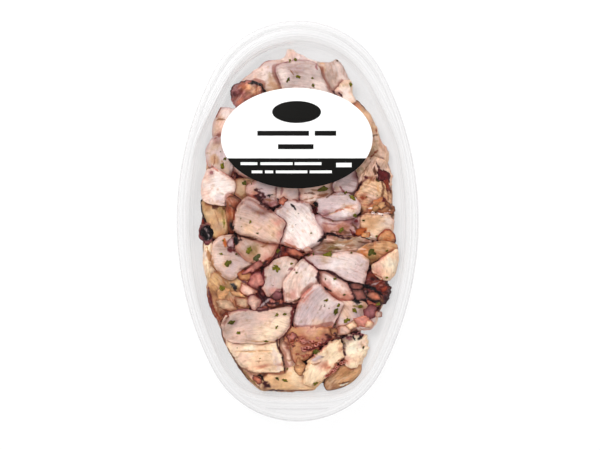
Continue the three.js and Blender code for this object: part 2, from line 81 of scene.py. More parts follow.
class Tone(Enum):
    """The colours of the flesh, the skin and the leaves, as they show in plain light."""

    BRIGHT = (252, 238, 234)
    WHITE = (246, 224, 214)
    IVORY = (255, 247, 226)
    SHELL = (236, 194, 176)
    LILAC = (212, 188, 188)
    PEARL = (202, 180, 174)
    DOVE = (204, 172, 158)
    FAWN = (190, 148, 128)
    GREY_LILAC = (184, 154, 154)
    GREY = (168, 142, 130)
    ROSE = (208, 136, 122)
    SALMON = (190, 112, 86)
    DUSK = (150, 90, 80)
    PEACH = (240, 198, 164)
    CREAM = (255, 226, 192)
    APRICOT = (244, 194, 146)
    BEIGE = (206, 170, 140)
    SAND = (214, 160, 114)
    STRAW = (226, 188, 134)
    TAN = (184, 128, 86)
    OLIVE = (130, 100, 54)
    UMBER = (144, 90, 62)
    ORANGE = (192, 98, 44)
    RUST = (136, 56, 34)
    BROWN = (96, 54, 36)
    MAUVE = (146, 88, 90)
    WINE = (92, 26, 28)
    PLUM = (56, 18, 22)
    BLACK = (12, 5, 7)
    LEAF = (106, 98, 20)
    DARK_LEAF = (62, 60, 14)

    @property
    def shown(self) -> Array:
        """The tone as a display colour of 0 to 1, which is what colours are mixed in."""
        return np.array(self.value) / 255


(
    BRIGHT, WHITE, IVORY, SHELL, LILAC, PEARL, DOVE, FAWN, GREY_LILAC, GREY, ROSE, SALMON, DUSK, PEACH, CREAM,
    APRICOT, BEIGE, SAND, STRAW, TAN, OLIVE, UMBER, ORANGE, RUST, BROWN, MAUVE, WINE, PLUM,
    BLACK, LEAF, DARK_LEAF,
) = Tone


def toward(tint: Array, goal: Tone | Array, share: Array) -> Array:
    """Turns colours towards a goal.

    Args:
        tint: colours over any grid.
        goal: a tone, or colours over the same grid.
        share: how far each colour turns, from 0 to 1.

    Returns:
        The new colours.
    """
    aim = goal.shown if isinstance(goal, Tone) else goal
    return tint + (aim - tint) * share[..., None]


# ---------------------------------------------------------------- numbers over whole arrays


def smooth(value: Array, start: float, end: float) -> Array:
    """A soft step: 0 at start, 1 at end, level at both."""
    share = np.clip((value - start) / (end - start), 0, 1)
    return share * share * (3 - 2 * share)


def bell(distance: Array, width: float) -> Array:
    """A bell curve over a distance: 1 in its middle, exp(-(distance / width)^2) elsewhere."""
    return np.exp(-((distance / width) ** 2))


def turned(u: Array, v: Array, degrees: float) -> tuple[Array, Array]:
    """Turns places counterclockwise round the origin."""
    turn = math.radians(degrees)
    return u * math.cos(turn) - v * math.sin(turn), u * math.sin(turn) + v * math.cos(turn)


def around(sides: int) -> Array:
    """Even angles over a full turn."""
    return np.arange(sides) / sides * FULL_TURN


def lattice_noise(x: Array, y: Array, seed: float) -> Array:
    """Smooth noise.

    Each corner of a lattice of side 1 has a fixed number, the broken part of a large sine, and the four
    corners round a place are blended with soft steps.

    Args:
        x: the places across, over any grid.
        y: the places along, over the same grid.
        seed: picks the numbers.

    Returns:
        Values from -1 to 1 over the grid.
    """
    column = np.floor(x)
    row = np.floor(y)
    across = x - column
    along = y - row

    def corner(right: int, up: int) -> Array:
        """The fixed number of one corner."""
        large = np.sin((column + right) * 127.1 + (row + up) * 311.7 + seed * 74.7) * 43758.5453
        return large - np.floor(large)

    across = across * across * (3 - 2 * across)
    along = along * along * (3 - 2 * along)
    lower = corner(0, 0) * (1 - across) + corner(1, 0) * across
    upper = corner(0, 1) * (1 - across) + corner(1, 1) * across
    return (lower * (1 - along) + upper * along) * 2 - 1


def clouds(x: Array, y: Array, size: float, seed: float, octaves: int = 3) -> Array:
    """Octaves of lattice noise, each half as wide and half as strong as the last.

    Args:
        x: the places across, over any grid.
        y: the places along, over the same grid.
        size: the width of the largest clouds.
        seed: picks the clouds.
        octaves: how many octaves.

    Returns:
        Values of about -1 to 1 over the grid.
    """
    total = np.zeros(np.shape(x))
    reach = 0.0
    for octave in range(octaves):
        scale = 2.0**octave / size
        total += lattice_noise(x * scale + 3.1 * octave, y * scale, seed + 11 * octave) / 2**octave
        reach += 1 / 2**octave
    return total * 1.5 / reach


def ring_clouds(angle: Array, radius: float, size: float, seed: float, octaves: int = 3) -> Array:
    """Clouds along a circle, so that a ring's waves close on themselves."""
    return clouds(np.cos(angle) * radius, np.sin(angle) * radius, size, seed, octaves)


def scatter_numbers(seed: float) -> tuple[float, float]:
    """Two even numbers between 0 and 1 that never repeat, the same each time."""
    return (seed * 0.6180339887) % 1, (seed * 0.7548776662) % 1


def soft_polygon(angle: Array, corners: int, seed: float, crisp: float, first_side: float) -> Array:
    """A polygon with soft, uneven corners.

    Each straight side cuts the reach off at distance / cos(angle - facing), and the softest minimum of all is
    (sum of (max(0, cos(angle - facing)) / distance)^crisp)^(-1 / crisp).

    Args:
        angle: the directions to measure in.
        corners: how many corners.
        seed: picks how uneven the sides are.
        crisp: how sharp the corners are.
        first_side: the way that the first side faces.

    Returns:
        The reach from the middle in each direction, as a share of the half size.
    """
    closeness = np.zeros_like(angle)
    for side in range(corners):
        first, second = scatter_numbers(seed * 7 + side + 1)
        facing = first_side + FULL_TURN * (side + 0.3 * (first - 0.5)) / corners
        distance = 1.1 * math.cos(math.pi / corners) * (0.9 + 0.2 * second)
        closeness += np.maximum(0, np.cos(angle - facing) / distance) ** crisp
    return closeness ** (-1 / crisp)


def bow(start: Place, via: Place, end: Place, share: Array) -> Array:
    """Places on a bow: (1 - t)^2 start + 2 t (1 - t) via + t^2 end, for each share t of its length.

    Args:
        start: where it starts.
        via: the place that it bends towards.
        end: where it ends.
        share: how far along it each place lies, from 0 to 1.

    Returns:
        Places, one row for each share.
    """
    t = share[:, None]
    ends = np.array([start, via, end], float)
    return (1 - t) ** 2 * ends[0] + 2 * t * (1 - t) * ends[1] + t**2 * ends[2]


# ---------------------------------------------------------------- meshes


@dataclass
class Skin:
    """A mesh in the making: points in millimetres, faces over them and what is painted on each point."""

    points: Array
    quads: Array
    triangles: Array
    tint: Array
    grain: Array

    @staticmethod
    def closed(rings: Array, low: Array, high: Array) -> "Skin":
        """Closes a stack of rings with a fan to a point at each end.

        Args:
            rings: points by ring and side, from the lower end to the upper, counterclockwise from above.
            low: the point that closes the first ring.
            high: the point that closes the last ring.

        Returns:
            The closed skin, in white.
        """
        count, sides = rings.shape[:2]
        ring, side = np.meshgrid(np.arange(count - 1), np.arange(sides), indexing="ij")
        after = (side + 1) % sides
        near = 1 + ring * sides
        far = near + sides
        quads = np.stack([near + side, near + after, far + after, far + side], -1).reshape(-1, 4)
        edge = np.arange(sides)
        beyond = (edge + 1) % sides
        last = 1 + (count - 1) * sides
        top = np.full(sides, last + sides)
        lower_fan = np.stack([np.zeros(sides, int), 1 + beyond, 1 + edge], -1)
        upper_fan = np.stack([top, last + edge, last + beyond], -1)
        points = np.vstack([low, rings.reshape(-1, 3), high])
        blank = np.ones((len(points), 3))
        return Skin(points, quads, np.vstack([lower_fan, upper_fan]), blank, points.copy())

    @staticmethod
    def joined(skins: Sequence["Skin"]) -> "Skin":
        """Puts several skins in one mesh.

        Args:
            skins: the skins, in order.

        Returns:
            One skin with all their points and faces.
        """
        starts = np.cumsum([0] + [len(skin.points) for skin in skins[:-1]])
        return Skin(
            np.vstack([skin.points for skin in skins]),
            np.vstack([skin.quads + start for skin, start in zip(skins, starts)]),
            np.vstack([skin.triangles + start for skin, start in zip(skins, starts)]),
            np.vstack([skin.tint for skin in skins]),
            np.vstack([skin.grain for skin in skins]),
        )

    def paint(self, rings: Array) -> None:
        """Sets the colours ring by ring. Each end point takes the mean of the slice's innermost upper ring.

        Args:
            rings: colours by ring and side, the last ring being the innermost upper one.
        """
        middle = rings[-1].mean(axis=0)
        self.tint = np.vstack([middle, rings.reshape(-1, 3), middle])

    def to_object(self, name: str, material: bpy.types.Material) -> bpy.types.Object:
        """Makes the mesh in metres, smooth shaded, with its tint and grain as attributes of its points.

        Args:
            name: the piece's name.
            material: what it is made of.

        Returns:
            The piece, linked to the scene.
        """
        mesh = bpy.data.meshes.new(name)
        corners = np.concatenate([self.quads.ravel(), self.triangles.ravel()]).astype(np.int32)
        quad_starts = np.arange(len(self.quads)) * 4
        triangle_starts = len(self.quads) * 4 + np.arange(len(self.triangles)) * 3
        starts = np.concatenate([quad_starts, triangle_starts]).astype(np.int32)
        mesh.vertices.add(len(self.points))
        mesh.loops.add(len(corners))
        mesh.polygons.add(len(starts))
        mesh.vertices.foreach_set("co", (self.points * MM).astype(np.float32).ravel())
        mesh.loops.foreach_set("vertex_index", corners)
        mesh.polygons.foreach_set("loop_start", starts)
        mesh.update(calc_edges=True)
        mesh.validate()
        mesh.polygons.foreach_set("use_smooth", np.ones(len(mesh.polygons), bool))
        tint = mesh.attributes.new("tint", "FLOAT_COLOR", "POINT")
        rgba = np.column_stack([to_linear(255 * np.clip(self.tint, 0, 1)), np.ones(len(self.tint))])
        tint.data.foreach_set("color", rgba.astype(np.float32).ravel())
        grain = mesh.attributes.new("grain", "FLOAT_VECTOR", "POINT")
        grain.data.foreach_set("vector", self.grain.astype(np.float32).ravel())
        mesh.materials.append(material)
        piece = bpy.data.objects.new(name, mesh)
        bpy.context.scene.collection.objects.link(piece)
        return piece


def densified(rings: Array, step: float) -> Array:
    """Adds rings along straight lines.

    Args:
        rings: points by ring and side.
        step: how far apart two neighbours may lie at most.

    Returns:
        The rings with the new ones between them.
    """
    spans = np.linalg.norm(np.diff(rings, axis=0), axis=-1).max(axis=1)
    parts = []
    for low, high, span in zip(rings[:-1], rings[1:], spans):
        count = max(1, math.ceil(span / step))
        share = (np.arange(count) / count)[:, None, None]
        parts.append(low + share * (high - low))
    return np.concatenate([*parts, rings[-1:]])


def cut_ends(places: Array, after: Array, share: float) -> Array:
    """The two points of each step that lie a share of its length from its ends, one pair after the other.

    Args:
        places: where each step starts.
        after: where each step ends.
        share: how far from its ends the points lie, as a share of its length.

    Returns:
        Places, two rows for each step.
    """
    near = places * (1 - share) + after * share
    far = places * share + after * (1 - share)
    return np.stack([near, far], axis=1).reshape(-1, *places.shape[1:])


def rounded(rings: Array) -> Array:
    """Cuts corners: of each step from ring to ring, only the points at 1/4 and 3/4 of its length stay."""
    return np.concatenate([rings[:1], cut_ends(rings[:-1], rings[1:], 0.25), rings[-1:]])


# ---------------------------------------------------------------- shader parts


class Graph:
    """The nodes of one material, group or world."""

    def __init__(self, tree: bpy.types.NodeTree) -> None:
        """Takes the tree that the nodes go in."""
        self.tree = tree

    def feed(self, node: bpy.types.Node, sockets: dict[int | str, object]) -> None:
        """Gives inputs of a node what they take.

        Args:
            node: the node.
            sockets: another node's output or a plain value for each input, by name or number.
        """
        for key, value in sockets.items():
            if isinstance(value, Socket):
                self.tree.links.new(value, node.inputs[key])
            else:
                node.inputs[key].default_value = value

    def add(
        self, kind: str, sockets: dict[int | str, object], output: int | str = 0, **settings: object
    ) -> Socket:
        """Adds a node.

        Args:
            kind: its type.
            sockets: what its inputs take, by name or number.
            output: which of its outputs to return.
            settings: its own settings, by name.

        Returns:
            The output.
        """
        node = self.tree.nodes.new("ShaderNode" + kind)
        for name, value in settings.items():
            setattr(node, name, value)
        self.feed(node, sockets)
        return node.outputs[output]

    def math(self, operation: str, *values: object) -> Socket:
        """Adds a math node over one to three values."""
        return self.add("Math", dict(enumerate(values)), operation=operation)

    def mix(self, share: object, low: object, high: object, blend: str = "MIX") -> Socket:
        """Mixes two colours.

        Args:
            share: how much of the second, as a socket or a number.
            low: the first colour, as a socket or linear values.
            high: the second one.
            blend: how they are mixed.

        Returns:
            The mixed colour.
        """
        low, high = (value if isinstance(value, Socket) else (*value, 1.0) for value in (low, high))
        return self.add("Mix", {0: share, 6: low, 7: high}, 2, data_type="RGBA", blend_type=blend)

    def object_place(self) -> Socket:
        """The coordinates in the piece's own frame, in metres."""
        return self.add("TexCoord", {}, "Object")

    def bump(self, height: Socket, strength: float, distance: float) -> Socket:
        """A normal that follows a height."""
        return self.add("Bump", {"Height": height, "Strength": strength, "Distance": distance})


class Effect(Enum):
    """The node groups that the materials share."""

    FIBRES = "fibres"
    MOTTLE = "mottle"
    WET = "wet"
    BAR = "bar"


class Effects:
    """Builds the shared node groups once and places them in materials."""

    def __init__(self) -> None:
        """Builds every group."""
        builders = (self.fibres, self.mottle, self.wet, self.bar)
        self.groups = {effect: builder(effect) for effect, builder in zip(Effect, builders)}

    @staticmethod
    def new_group(
        effect: Effect, vector: str, values: dict[str, float], output: str
    ) -> tuple[Graph, bpy.types.bpy_prop_collection, bpy.types.Node]:
        """Starts a group.

        Args:
            effect: which group it is.
            vector: the name of its first input, a vector.
            values: the name and default of each number that it takes.
            output: the name of the number that it gives.

        Returns:
            The group's graph, what its input node gives and its output node.
        """
        group = bpy.data.node_groups.new(effect.value, "ShaderNodeTree")
        group.interface.new_socket(vector, in_out="INPUT", socket_type="NodeSocketVector")
        for name, value in values.items():
            socket = group.interface.new_socket(name, in_out="INPUT", socket_type="NodeSocketFloat")
            socket.default_value = value
        group.interface.new_socket(output, in_out="OUTPUT", socket_type="NodeSocketFloat")
        source = group.nodes.new("NodeGroupInput")
        return Graph(group), source.outputs, group.nodes.new("NodeGroupOutput")

    def fibres(self, effect: Effect) -> bpy.types.NodeTree:
        """Fine muscle fibres: noise stretched along the grain. Input grain runs along X in millimetres.

        Args:
            effect: which group it is.

        Returns:
            The node group.
        """
        graph, source, sink = self.new_group(effect, "Grain", {"Spacing": 0.8, "Length": 9.0}, "Fibres")
        split = graph.add("SeparateXYZ", {0: source["Grain"]}).node.outputs
        along = graph.math("DIVIDE", split["X"], source["Length"])
        across = graph.math("DIVIDE", split["Y"], source["Spacing"])
        stretched = graph.add("CombineXYZ", {"X": along, "Y": across, "Z": split["Z"]})
        noise = graph.add("TexNoise", {"Vector": stretched, "Scale": 1.0, "Detail": 3.0}, "Fac")
        graph.feed(sink, {"Fibres": noise})
        return graph.tree

    def mottle(self, effect: Effect) -> bpy.types.NodeTree:
        """Soft blotches between a low and a high value, from noise of a given size in millimetres.

        Args:
            effect: which group it is.

        Returns:
            The node group.
        """
        values = {"Size": 4.0, "Low": 0.0, "High": 1.0}
        graph, source, sink = self.new_group(effect, "Vector", values, "Value")
        scale = graph.math("DIVIDE", 1 / MM, source["Size"])
        noise = graph.add("TexNoise", {"Vector": source["Vector"], "Scale": scale, "Detail": 4.0}, "Fac")
        levels = {"From Min": 0.32, "From Max": 0.68, "To Min": source["Low"], "To Max": source["High"]}
        graph.feed(sink, {"Value": graph.add("MapRange", {"Value": noise, **levels}, "Result")})
        return graph.tree

    def wet(self, effect: Effect) -> bpy.types.NodeTree:
        """Height of a wet, finely pitted surface: small beads of oil over fine wrinkles.

        Args:
            effect: which group it is.

        Returns:
            The node group.
        """
        graph, source, sink = self.new_group(effect, "Vector", {"Bead": 1.6, "Wrinkle": 0.5}, "Height")
        bead_scale = graph.math("DIVIDE", 1 / MM, source["Bead"])
        wrinkle_scale = graph.math("DIVIDE", 1 / MM, source["Wrinkle"])
        vector = source["Vector"]
        bead = graph.add(
            "TexVoronoi", {"Vector": vector, "Scale": bead_scale}, "Distance", feature="SMOOTH_F1"
        )
        wrinkle = graph.add("TexNoise", {"Vector": vector, "Scale": wrinkle_scale, "Detail": 4.0}, "Fac")
        graph.feed(sink, {"Height": graph.math("MULTIPLY_ADD", bead, 0.6, wrinkle)})
        return graph.tree

    def bar(self, effect: Effect) -> bpy.types.NodeTree:
        """A filled rectangle on the XY plane, 1 inside and 0 outside. Centre and half size are in metres.

        Args:
            effect: which group it is.

        Returns:
            The node group.
        """
        values = {"Centre X": 0.0, "Centre Y": 0.0, "Half Width": 0.01, "Half Height": 0.002}
        graph, source, sink = self.new_group(effect, "Vector", values, "Mask")
        split = graph.add("SeparateXYZ", {0: source["Vector"]}).node.outputs
        sides = []
        for axis, half in (("X", "Half Width"), ("Y", "Half Height")):
            offset = graph.math("SUBTRACT", split[axis], source["Centre " + axis])
            sides.append(graph.math("LESS_THAN", graph.math("ABSOLUTE", offset), source[half]))
        graph.feed(sink, {"Mask": graph.math("MULTIPLY", *sides)})
        return graph.tree

    def place(self, graph: Graph, effect: Effect, vector: Socket, **values: float) -> Socket:
        """Places a group in a material.

        Args:
            graph: the material's nodes.
            effect: which group to place.
            vector: the coordinates that it reads.
            values: its other inputs, by name, with underscores for spaces.

        Returns:
            The group's output.
        """
        inputs = {name.replace("_", " "): value for name, value in values.items()}
        return graph.add("Group", {0: vector, **inputs}, node_tree=self.groups[effect])


def new_material(name: str) -> tuple[bpy.types.Material, Graph, bpy.types.Node]:
    """Starts a material.

    Args:
        name: the material's name.

    Returns:
        The material, its graph and its shader.
    """
    material = bpy.data.materials.new(name)
    material.use_nodes = True
    return material, Graph(material.node_tree), material.node_tree.nodes["Principled BSDF"]


@dataclass(frozen=True)
class FleshFinish:
    """Cooked flesh or skin, wet with oil. Its colour is painted on the mesh."""

    name: str
    fibre_spacing: float = 0.8
    fibre_depth: float = 0.35
    mottle_size: float = 3.0
    mottle_low: float = 0.9
    mottle_high: float = 1.07
    roughness: float = 0.36
    softness: float = 0.14
    relief: float = 0.00022
    bump: float = 0.55

    def material(self, effects: Effects) -> bpy.types.Material:
        """Tint times fine blotches and fibres, with fibres and wrinkles as bump.

        Args:
            effects: the shared node groups.

        Returns:
            The material.
        """
        material, graph, shader = new_material(self.name)
        place = graph.object_place()
        tint = graph.add("Attribute", {}, "Color", attribute_name="tint")
        grain = graph.add("Attribute", {}, "Vector", attribute_name="grain")
        fibres = effects.place(graph, Effect.FIBRES, grain, Spacing=self.fibre_spacing)
        blotch = effects.place(
            graph, Effect.MOTTLE, place, Size=self.mottle_size, Low=self.mottle_low, High=self.mottle_high
        )
        levels = {"From Min": 0.3, "From Max": 0.7}
        levels |= {"To Min": 1 - 0.26 * self.fibre_depth, "To Max": 1 + 0.2 * self.fibre_depth}
        lines = graph.add("MapRange", {"Value": fibres, **levels}, "Result")
        shade = graph.math("MULTIPLY", blotch, lines)
        gloss = effects.place(
            graph, Effect.MOTTLE, place, Size=1.8, Low=self.roughness - 0.08, High=self.roughness + 0.14
        )
        wrinkles = effects.place(graph, Effect.WET, place, Bead=1.5, Wrinkle=0.6)
        height = graph.math("MULTIPLY_ADD", fibres, self.fibre_depth, wrinkles)
        graph.feed(shader, {
            "Base Color": graph.add("VectorMath", {0: tint, "Scale": shade}, operation="SCALE"),
            "Roughness": gloss,
            "Normal": graph.bump(height, self.bump, self.relief),
            "IOR": 1.42,
            "Specular IOR Level": 0.16,
            "Coat Weight": 0.03,
            "Coat Roughness": 0.2,
            "Subsurface Weight": self.softness,
            "Subsurface Radius": (0.0022, 0.0012, 0.0009),
            "Subsurface Scale": 1.0,
        })
        return material


@dataclass(frozen=True)
class PlasticFinish:
    """Thin clear plastic.

    Seen face on it has colour and alpha. From steep_from on, where 1 is seen along its face, it turns to
    steep and steep_alpha. Where steep_alpha is over alpha, it does that too by the red of the mesh's tint,
    which carries painted shade, and turns to white by its green, which carries painted highlights.
    """

    name: str
    colour: Colour
    alpha: float
    steep: Colour = (226, 228, 230)
    steep_alpha: float = 0.0
    steep_from: float = 0.7
    roughness: float = 0.12
    ripple: float = 0.0
    ripple_strength: float = 0.4

    def material(self, effects: Effects) -> bpy.types.Material:
        """A pale, mostly see-through gloss whose surface ripples a little.

        Args:
            effects: the shared node groups.

        Returns:
            The material.
        """
        material, graph, shader = new_material(self.name)
        place = graph.object_place()
        gloss = effects.place(
            graph, Effect.MOTTLE, place, Size=14.0, Low=self.roughness, High=self.roughness + 0.05
        )
        colour = (*to_linear(self.colour), 1.0)
        graph.feed(shader, {"Roughness": gloss, "Base Color": colour, "Alpha": self.alpha, "IOR": 1.5})
        if self.ripple:
            wave = effects.place(graph, Effect.MOTTLE, place, Size=9.0)
            graph.feed(shader, {"Normal": graph.bump(wave, self.ripple_strength, self.ripple)})
        if self.steep_alpha > self.alpha:
            facing = graph.add("LayerWeight", {"Blend": 0.5}, "Facing")
            leaning = graph.add("MapRange", {"Value": facing, "From Min": self.steep_from}, "Result")
            # The tint's red is painted shade along the tray's grooves, its green painted highlight on its
            # ridges.
            painted_on = graph.add("Attribute", {}, "Color", attribute_name="tint")
            bend_shade_and_highlight = graph.add("SeparateColor", {"Color": painted_on}).node.outputs
            dense = graph.math("MAXIMUM", leaning, bend_shade_and_highlight["Red"])
            seen = graph.math("MAXIMUM", dense, bend_shade_and_highlight["Green"])
            cover = graph.math("MULTIPLY_ADD", seen, self.steep_alpha - self.alpha, self.alpha)
            tint = graph.mix(dense, to_linear(self.colour), to_linear(self.steep))
            graph.feed(shader, {"Alpha": cover, "Base Color": graph.mix(bend_shade_and_highlight["Green"], tint, (1, 1, 1))})
        return material


Box = tuple[float, float, float, float]


@dataclass(frozen=True)
class LabelFinish:
    """Coated paper with a plain print: a dark lower part, a dark badge and bars for lines of print.

    Each bar, the band and the badge have a middle and a half size, in millimetres.
    """

    name: str
    white: Colour = (252, 252, 251)
    dark: Colour = (10, 9, 7)
    band: Box = (0.0, -22.6, 90.0, 60.0)
    badge: Box = (-0.6, 65.0, 14.6, 6.6)
    dark_bars: tuple[Box, ...] = ((-8.6, 52.3, 15.4, 1.5), (16.6, 52.3, 6.4, 1.5), (-1.1, 44.3, 10.6, 1.5))
    light_bars: tuple[Box, ...] = (
        (-29.0, 34.2, 5.0, 0.8), (-12.6, 34.2, 9.6, 0.8), (6.2, 34.2, 8.0, 0.8), (-24.2, 29.3, 3.2, 0.8),
        (-17.0, 29.3, 2.4, 0.8), (-3.6, 29.3, 9.4, 0.8), (13.8, 29.3, 6.6, 0.8), (27.6, 33.4, 4.6, 1.3),
    )

    def material(self, effects: Effects) -> bpy.types.Material:
        """White paper under dark bars and a dark band, with light bars on the band.

        Args:
            effects: the shared node groups.

        Returns:
            The material.
        """
        material, graph, shader = new_material(self.name)
        place = graph.object_place()
        fleck = effects.place(graph, Effect.MOTTLE, place, Size=1.2, Low=0.975, High=1.0)
        white, dark = to_linear(self.white), to_linear(self.dark)
        colour = graph.mix(1.0, white, fleck, "MULTIPLY")
        inputs = ("Centre_X", "Centre_Y", "Half_Width", "Half_Height")
        for boxes, ink in (((self.band, *self.dark_bars), dark), (self.light_bars, white)):
            for box in boxes:
                values = {name: value * MM for name, value in zip(inputs, box)}
                colour = graph.mix(effects.place(graph, Effect.BAR, place, **values), colour, ink)
        colour = graph.mix(self.badge_mask(graph, place), colour, dark)
        graph.feed(shader, {"Base Color": colour, "Roughness": 0.5, "Specular IOR Level": 0.12})
        return material

    def badge_mask(self, graph: Graph, place: Socket) -> Socket:
        """The mask of an upright oval badge: 1 where (x / a)^2 + (y / b)^2 is under 1.

        Args:
            graph: the material's nodes.
            place: the coordinates on the label.

        Returns:
            The mask, 1 inside and 0 outside.
        """
        x, y, half_width, half_height = (value * MM for value in self.badge)
        shift = (-x / half_width, -y / half_height, 0)
        scale = (1 / half_width, 1 / half_height, 0)
        round_off = graph.add("Mapping", {"Vector": place, "Location": shift, "Scale": scale})
        length = graph.add("VectorMath", {0: round_off}, "Value", operation="LENGTH")
        return graph.math("LESS_THAN", length, 1.0)


@dataclass(frozen=True)
class FloorFinish:
    """The plain surface under the tray, lit from within so that its shadows stay faint."""

    name: str
    colour: Colour = (150, 150, 150)
    glow: float = 0.7

    def material(self, effects: Effects) -> bpy.types.Material:
        """Matt, almost white.

        Args:
            effects: the shared node groups.

        Returns:
            The material.
        """
        material, graph, shader = new_material(self.name)
        mottle = effects.place(graph, Effect.MOTTLE, graph.object_place(), Size=90.0, Low=0.8, High=0.9)
        graph.feed(shader, {
            "Roughness": mottle,
            "Base Color": (*to_linear(self.colour), 1.0),
            "Specular IOR Level": 0.1,
            "Emission Color": (1.0, 1.0, 1.0, 1.0),
            "Emission Strength": self.glow,
        })
        return material


@dataclass
class Laid:
    """A piece that lies on the heap and isn't an object yet."""

    skin: Skin
    name: str
    finish: FleshFinish
    slot: str
    node: Optional[str] = None


def placed(piece: bpy.types.Object, slot: str, *nodes: str) -> bpy.types.Object:
    """Makes a piece ride on the tray's body, hides the solids that it replaces and logs its size.

    Args:
        piece: the piece.
        slot: not used.
        nodes: the solids that it replaces, if any.

    Returns:
        The piece.
    """
    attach(piece, BODY)
    if nodes:
        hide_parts(*nodes)
    log.info("%s: %d points, %d faces", piece.name, len(piece.data.vertices), len(piece.data.polygons))
    return piece


# ---------------------------------------------------------------- the tray's outlines


@dataclass(frozen=True)
class TraySizes:
    """The tray's driving sizes, as in its solid."""

    half_length: float = 120.0
    half_width: float = 72.5
    end_radius: float = 57.0
    wall: float = 0.8
    rim_top: float = 15.0
    lip_drop: float = 2.4
    lip_round: float = 1.1
    rim_width: float = 3.2
    shelf_drop: float = 1.0
    brim_inset: float = 6.3
    floor_inset: float = 9.8
    head_extra: float = 4.2
    tail_brim_inset: float = 13.1
    tail_floor_inset: float = 17.3
    tail_corner: float = 9.0
    brim_round: float = 1.0
    floor_round: float = 2.0

    def oval_radius(self, angle: Array, inset: float | Array) -> Array:
        """Distance from the middle to an oval of four arcs.

        The two side arcs have a radius that makes them meet the end arcs smoothly. A ray crosses an end arc
        where it is steeper than the line to their meeting point, and a side arc elsewhere.

        Args:
            angle: the directions to measure in.
            inset: how far the oval lies inside the tray's edge.

        Returns:
            The distance in each direction.
        """
        reach = self.half_length - self.end_radius
        rise = self.half_width**2 - self.end_radius**2 + reach**2
        side_radius = rise / (2 * (self.half_width - self.end_radius))
        side_centre = side_radius - self.half_width
        join = math.atan2(reach, side_centre)
        across = np.abs(np.cos(angle))
        along = np.abs(np.sin(angle))
        join_x = (side_radius - inset) * math.cos(join) - side_centre
        join_y = (side_radius - inset) * math.sin(join)
        end_square = np.maximum((self.end_radius - inset) ** 2 - (reach * across) ** 2, 0)
        side_square = np.maximum((side_radius - inset) ** 2 - (side_centre * along) ** 2, 0)
        at_end = reach * along + np.sqrt(end_square)
        at_side = -side_centre * across + np.sqrt(side_square)
        return np.where(along * join_x > across * join_y, at_end, at_side)

    def well_radius(self, angle: Array, depth: float) -> Array:
        """Distance to the well's wall: the oval, set further in at the head, cut straight at the tail.

        Where oval and straight end meet, the smaller of the two is rounded by w - |a - b| squared over 4 w.

        Args:
            angle: the directions to measure in.
            depth: where on the wall, from its brim (0) to its floor (1).

        Returns:
            The distance in each direction.
        """
        head = smooth(np.sin(angle), 0.55, 0.97)
        inset = self.brim_inset + (self.floor_inset - self.brim_inset) * depth + self.head_extra * head
        tail_inset = self.tail_brim_inset + (self.tail_floor_inset - self.tail_brim_inset) * depth
        tail = (self.half_length - tail_inset) / np.maximum(-np.sin(angle), 0.01)
        oval = self.oval_radius(angle, inset)
        overlap = np.maximum(self.tail_corner - np.abs(oval - tail), 0)
        return np.minimum(oval, tail) - overlap**2 / (4 * self.tail_corner)

    def kept_inside(self, x: Array, y: Array, gap: float) -> tuple[Array, Array]:
        """Moves places towards the middle until they are a gap inside the middle of the well's wall.

        Args:
            x: the places across.
            y: the places along.
            gap: how far inside the wall they have to be.

        Returns:
            The moved x and y.
        """
        limit = self.well_radius(np.arctan2(y, x), 0.6) - gap
        share = np.minimum(1, limit / np.maximum(np.hypot(x, y), 1e-6))
        return x * share, y * share


def ring_at(radius: Array, height: float | Array) -> Array:
    """Points round the middle at the given distance and height, one for each even angle.

    Args:
        radius: the distance from the middle, one for each angle.
        height: one height, or one for each angle.

    Returns:
        Places in space, one row for each angle.
    """
    angle = around(len(radius))
    heights = np.broadcast_to(height, radius.shape)
    return np.stack([radius * np.cos(angle), radius * np.sin(angle), heights], axis=-1)


# ---------------------------------------------------------------- the heap's heights


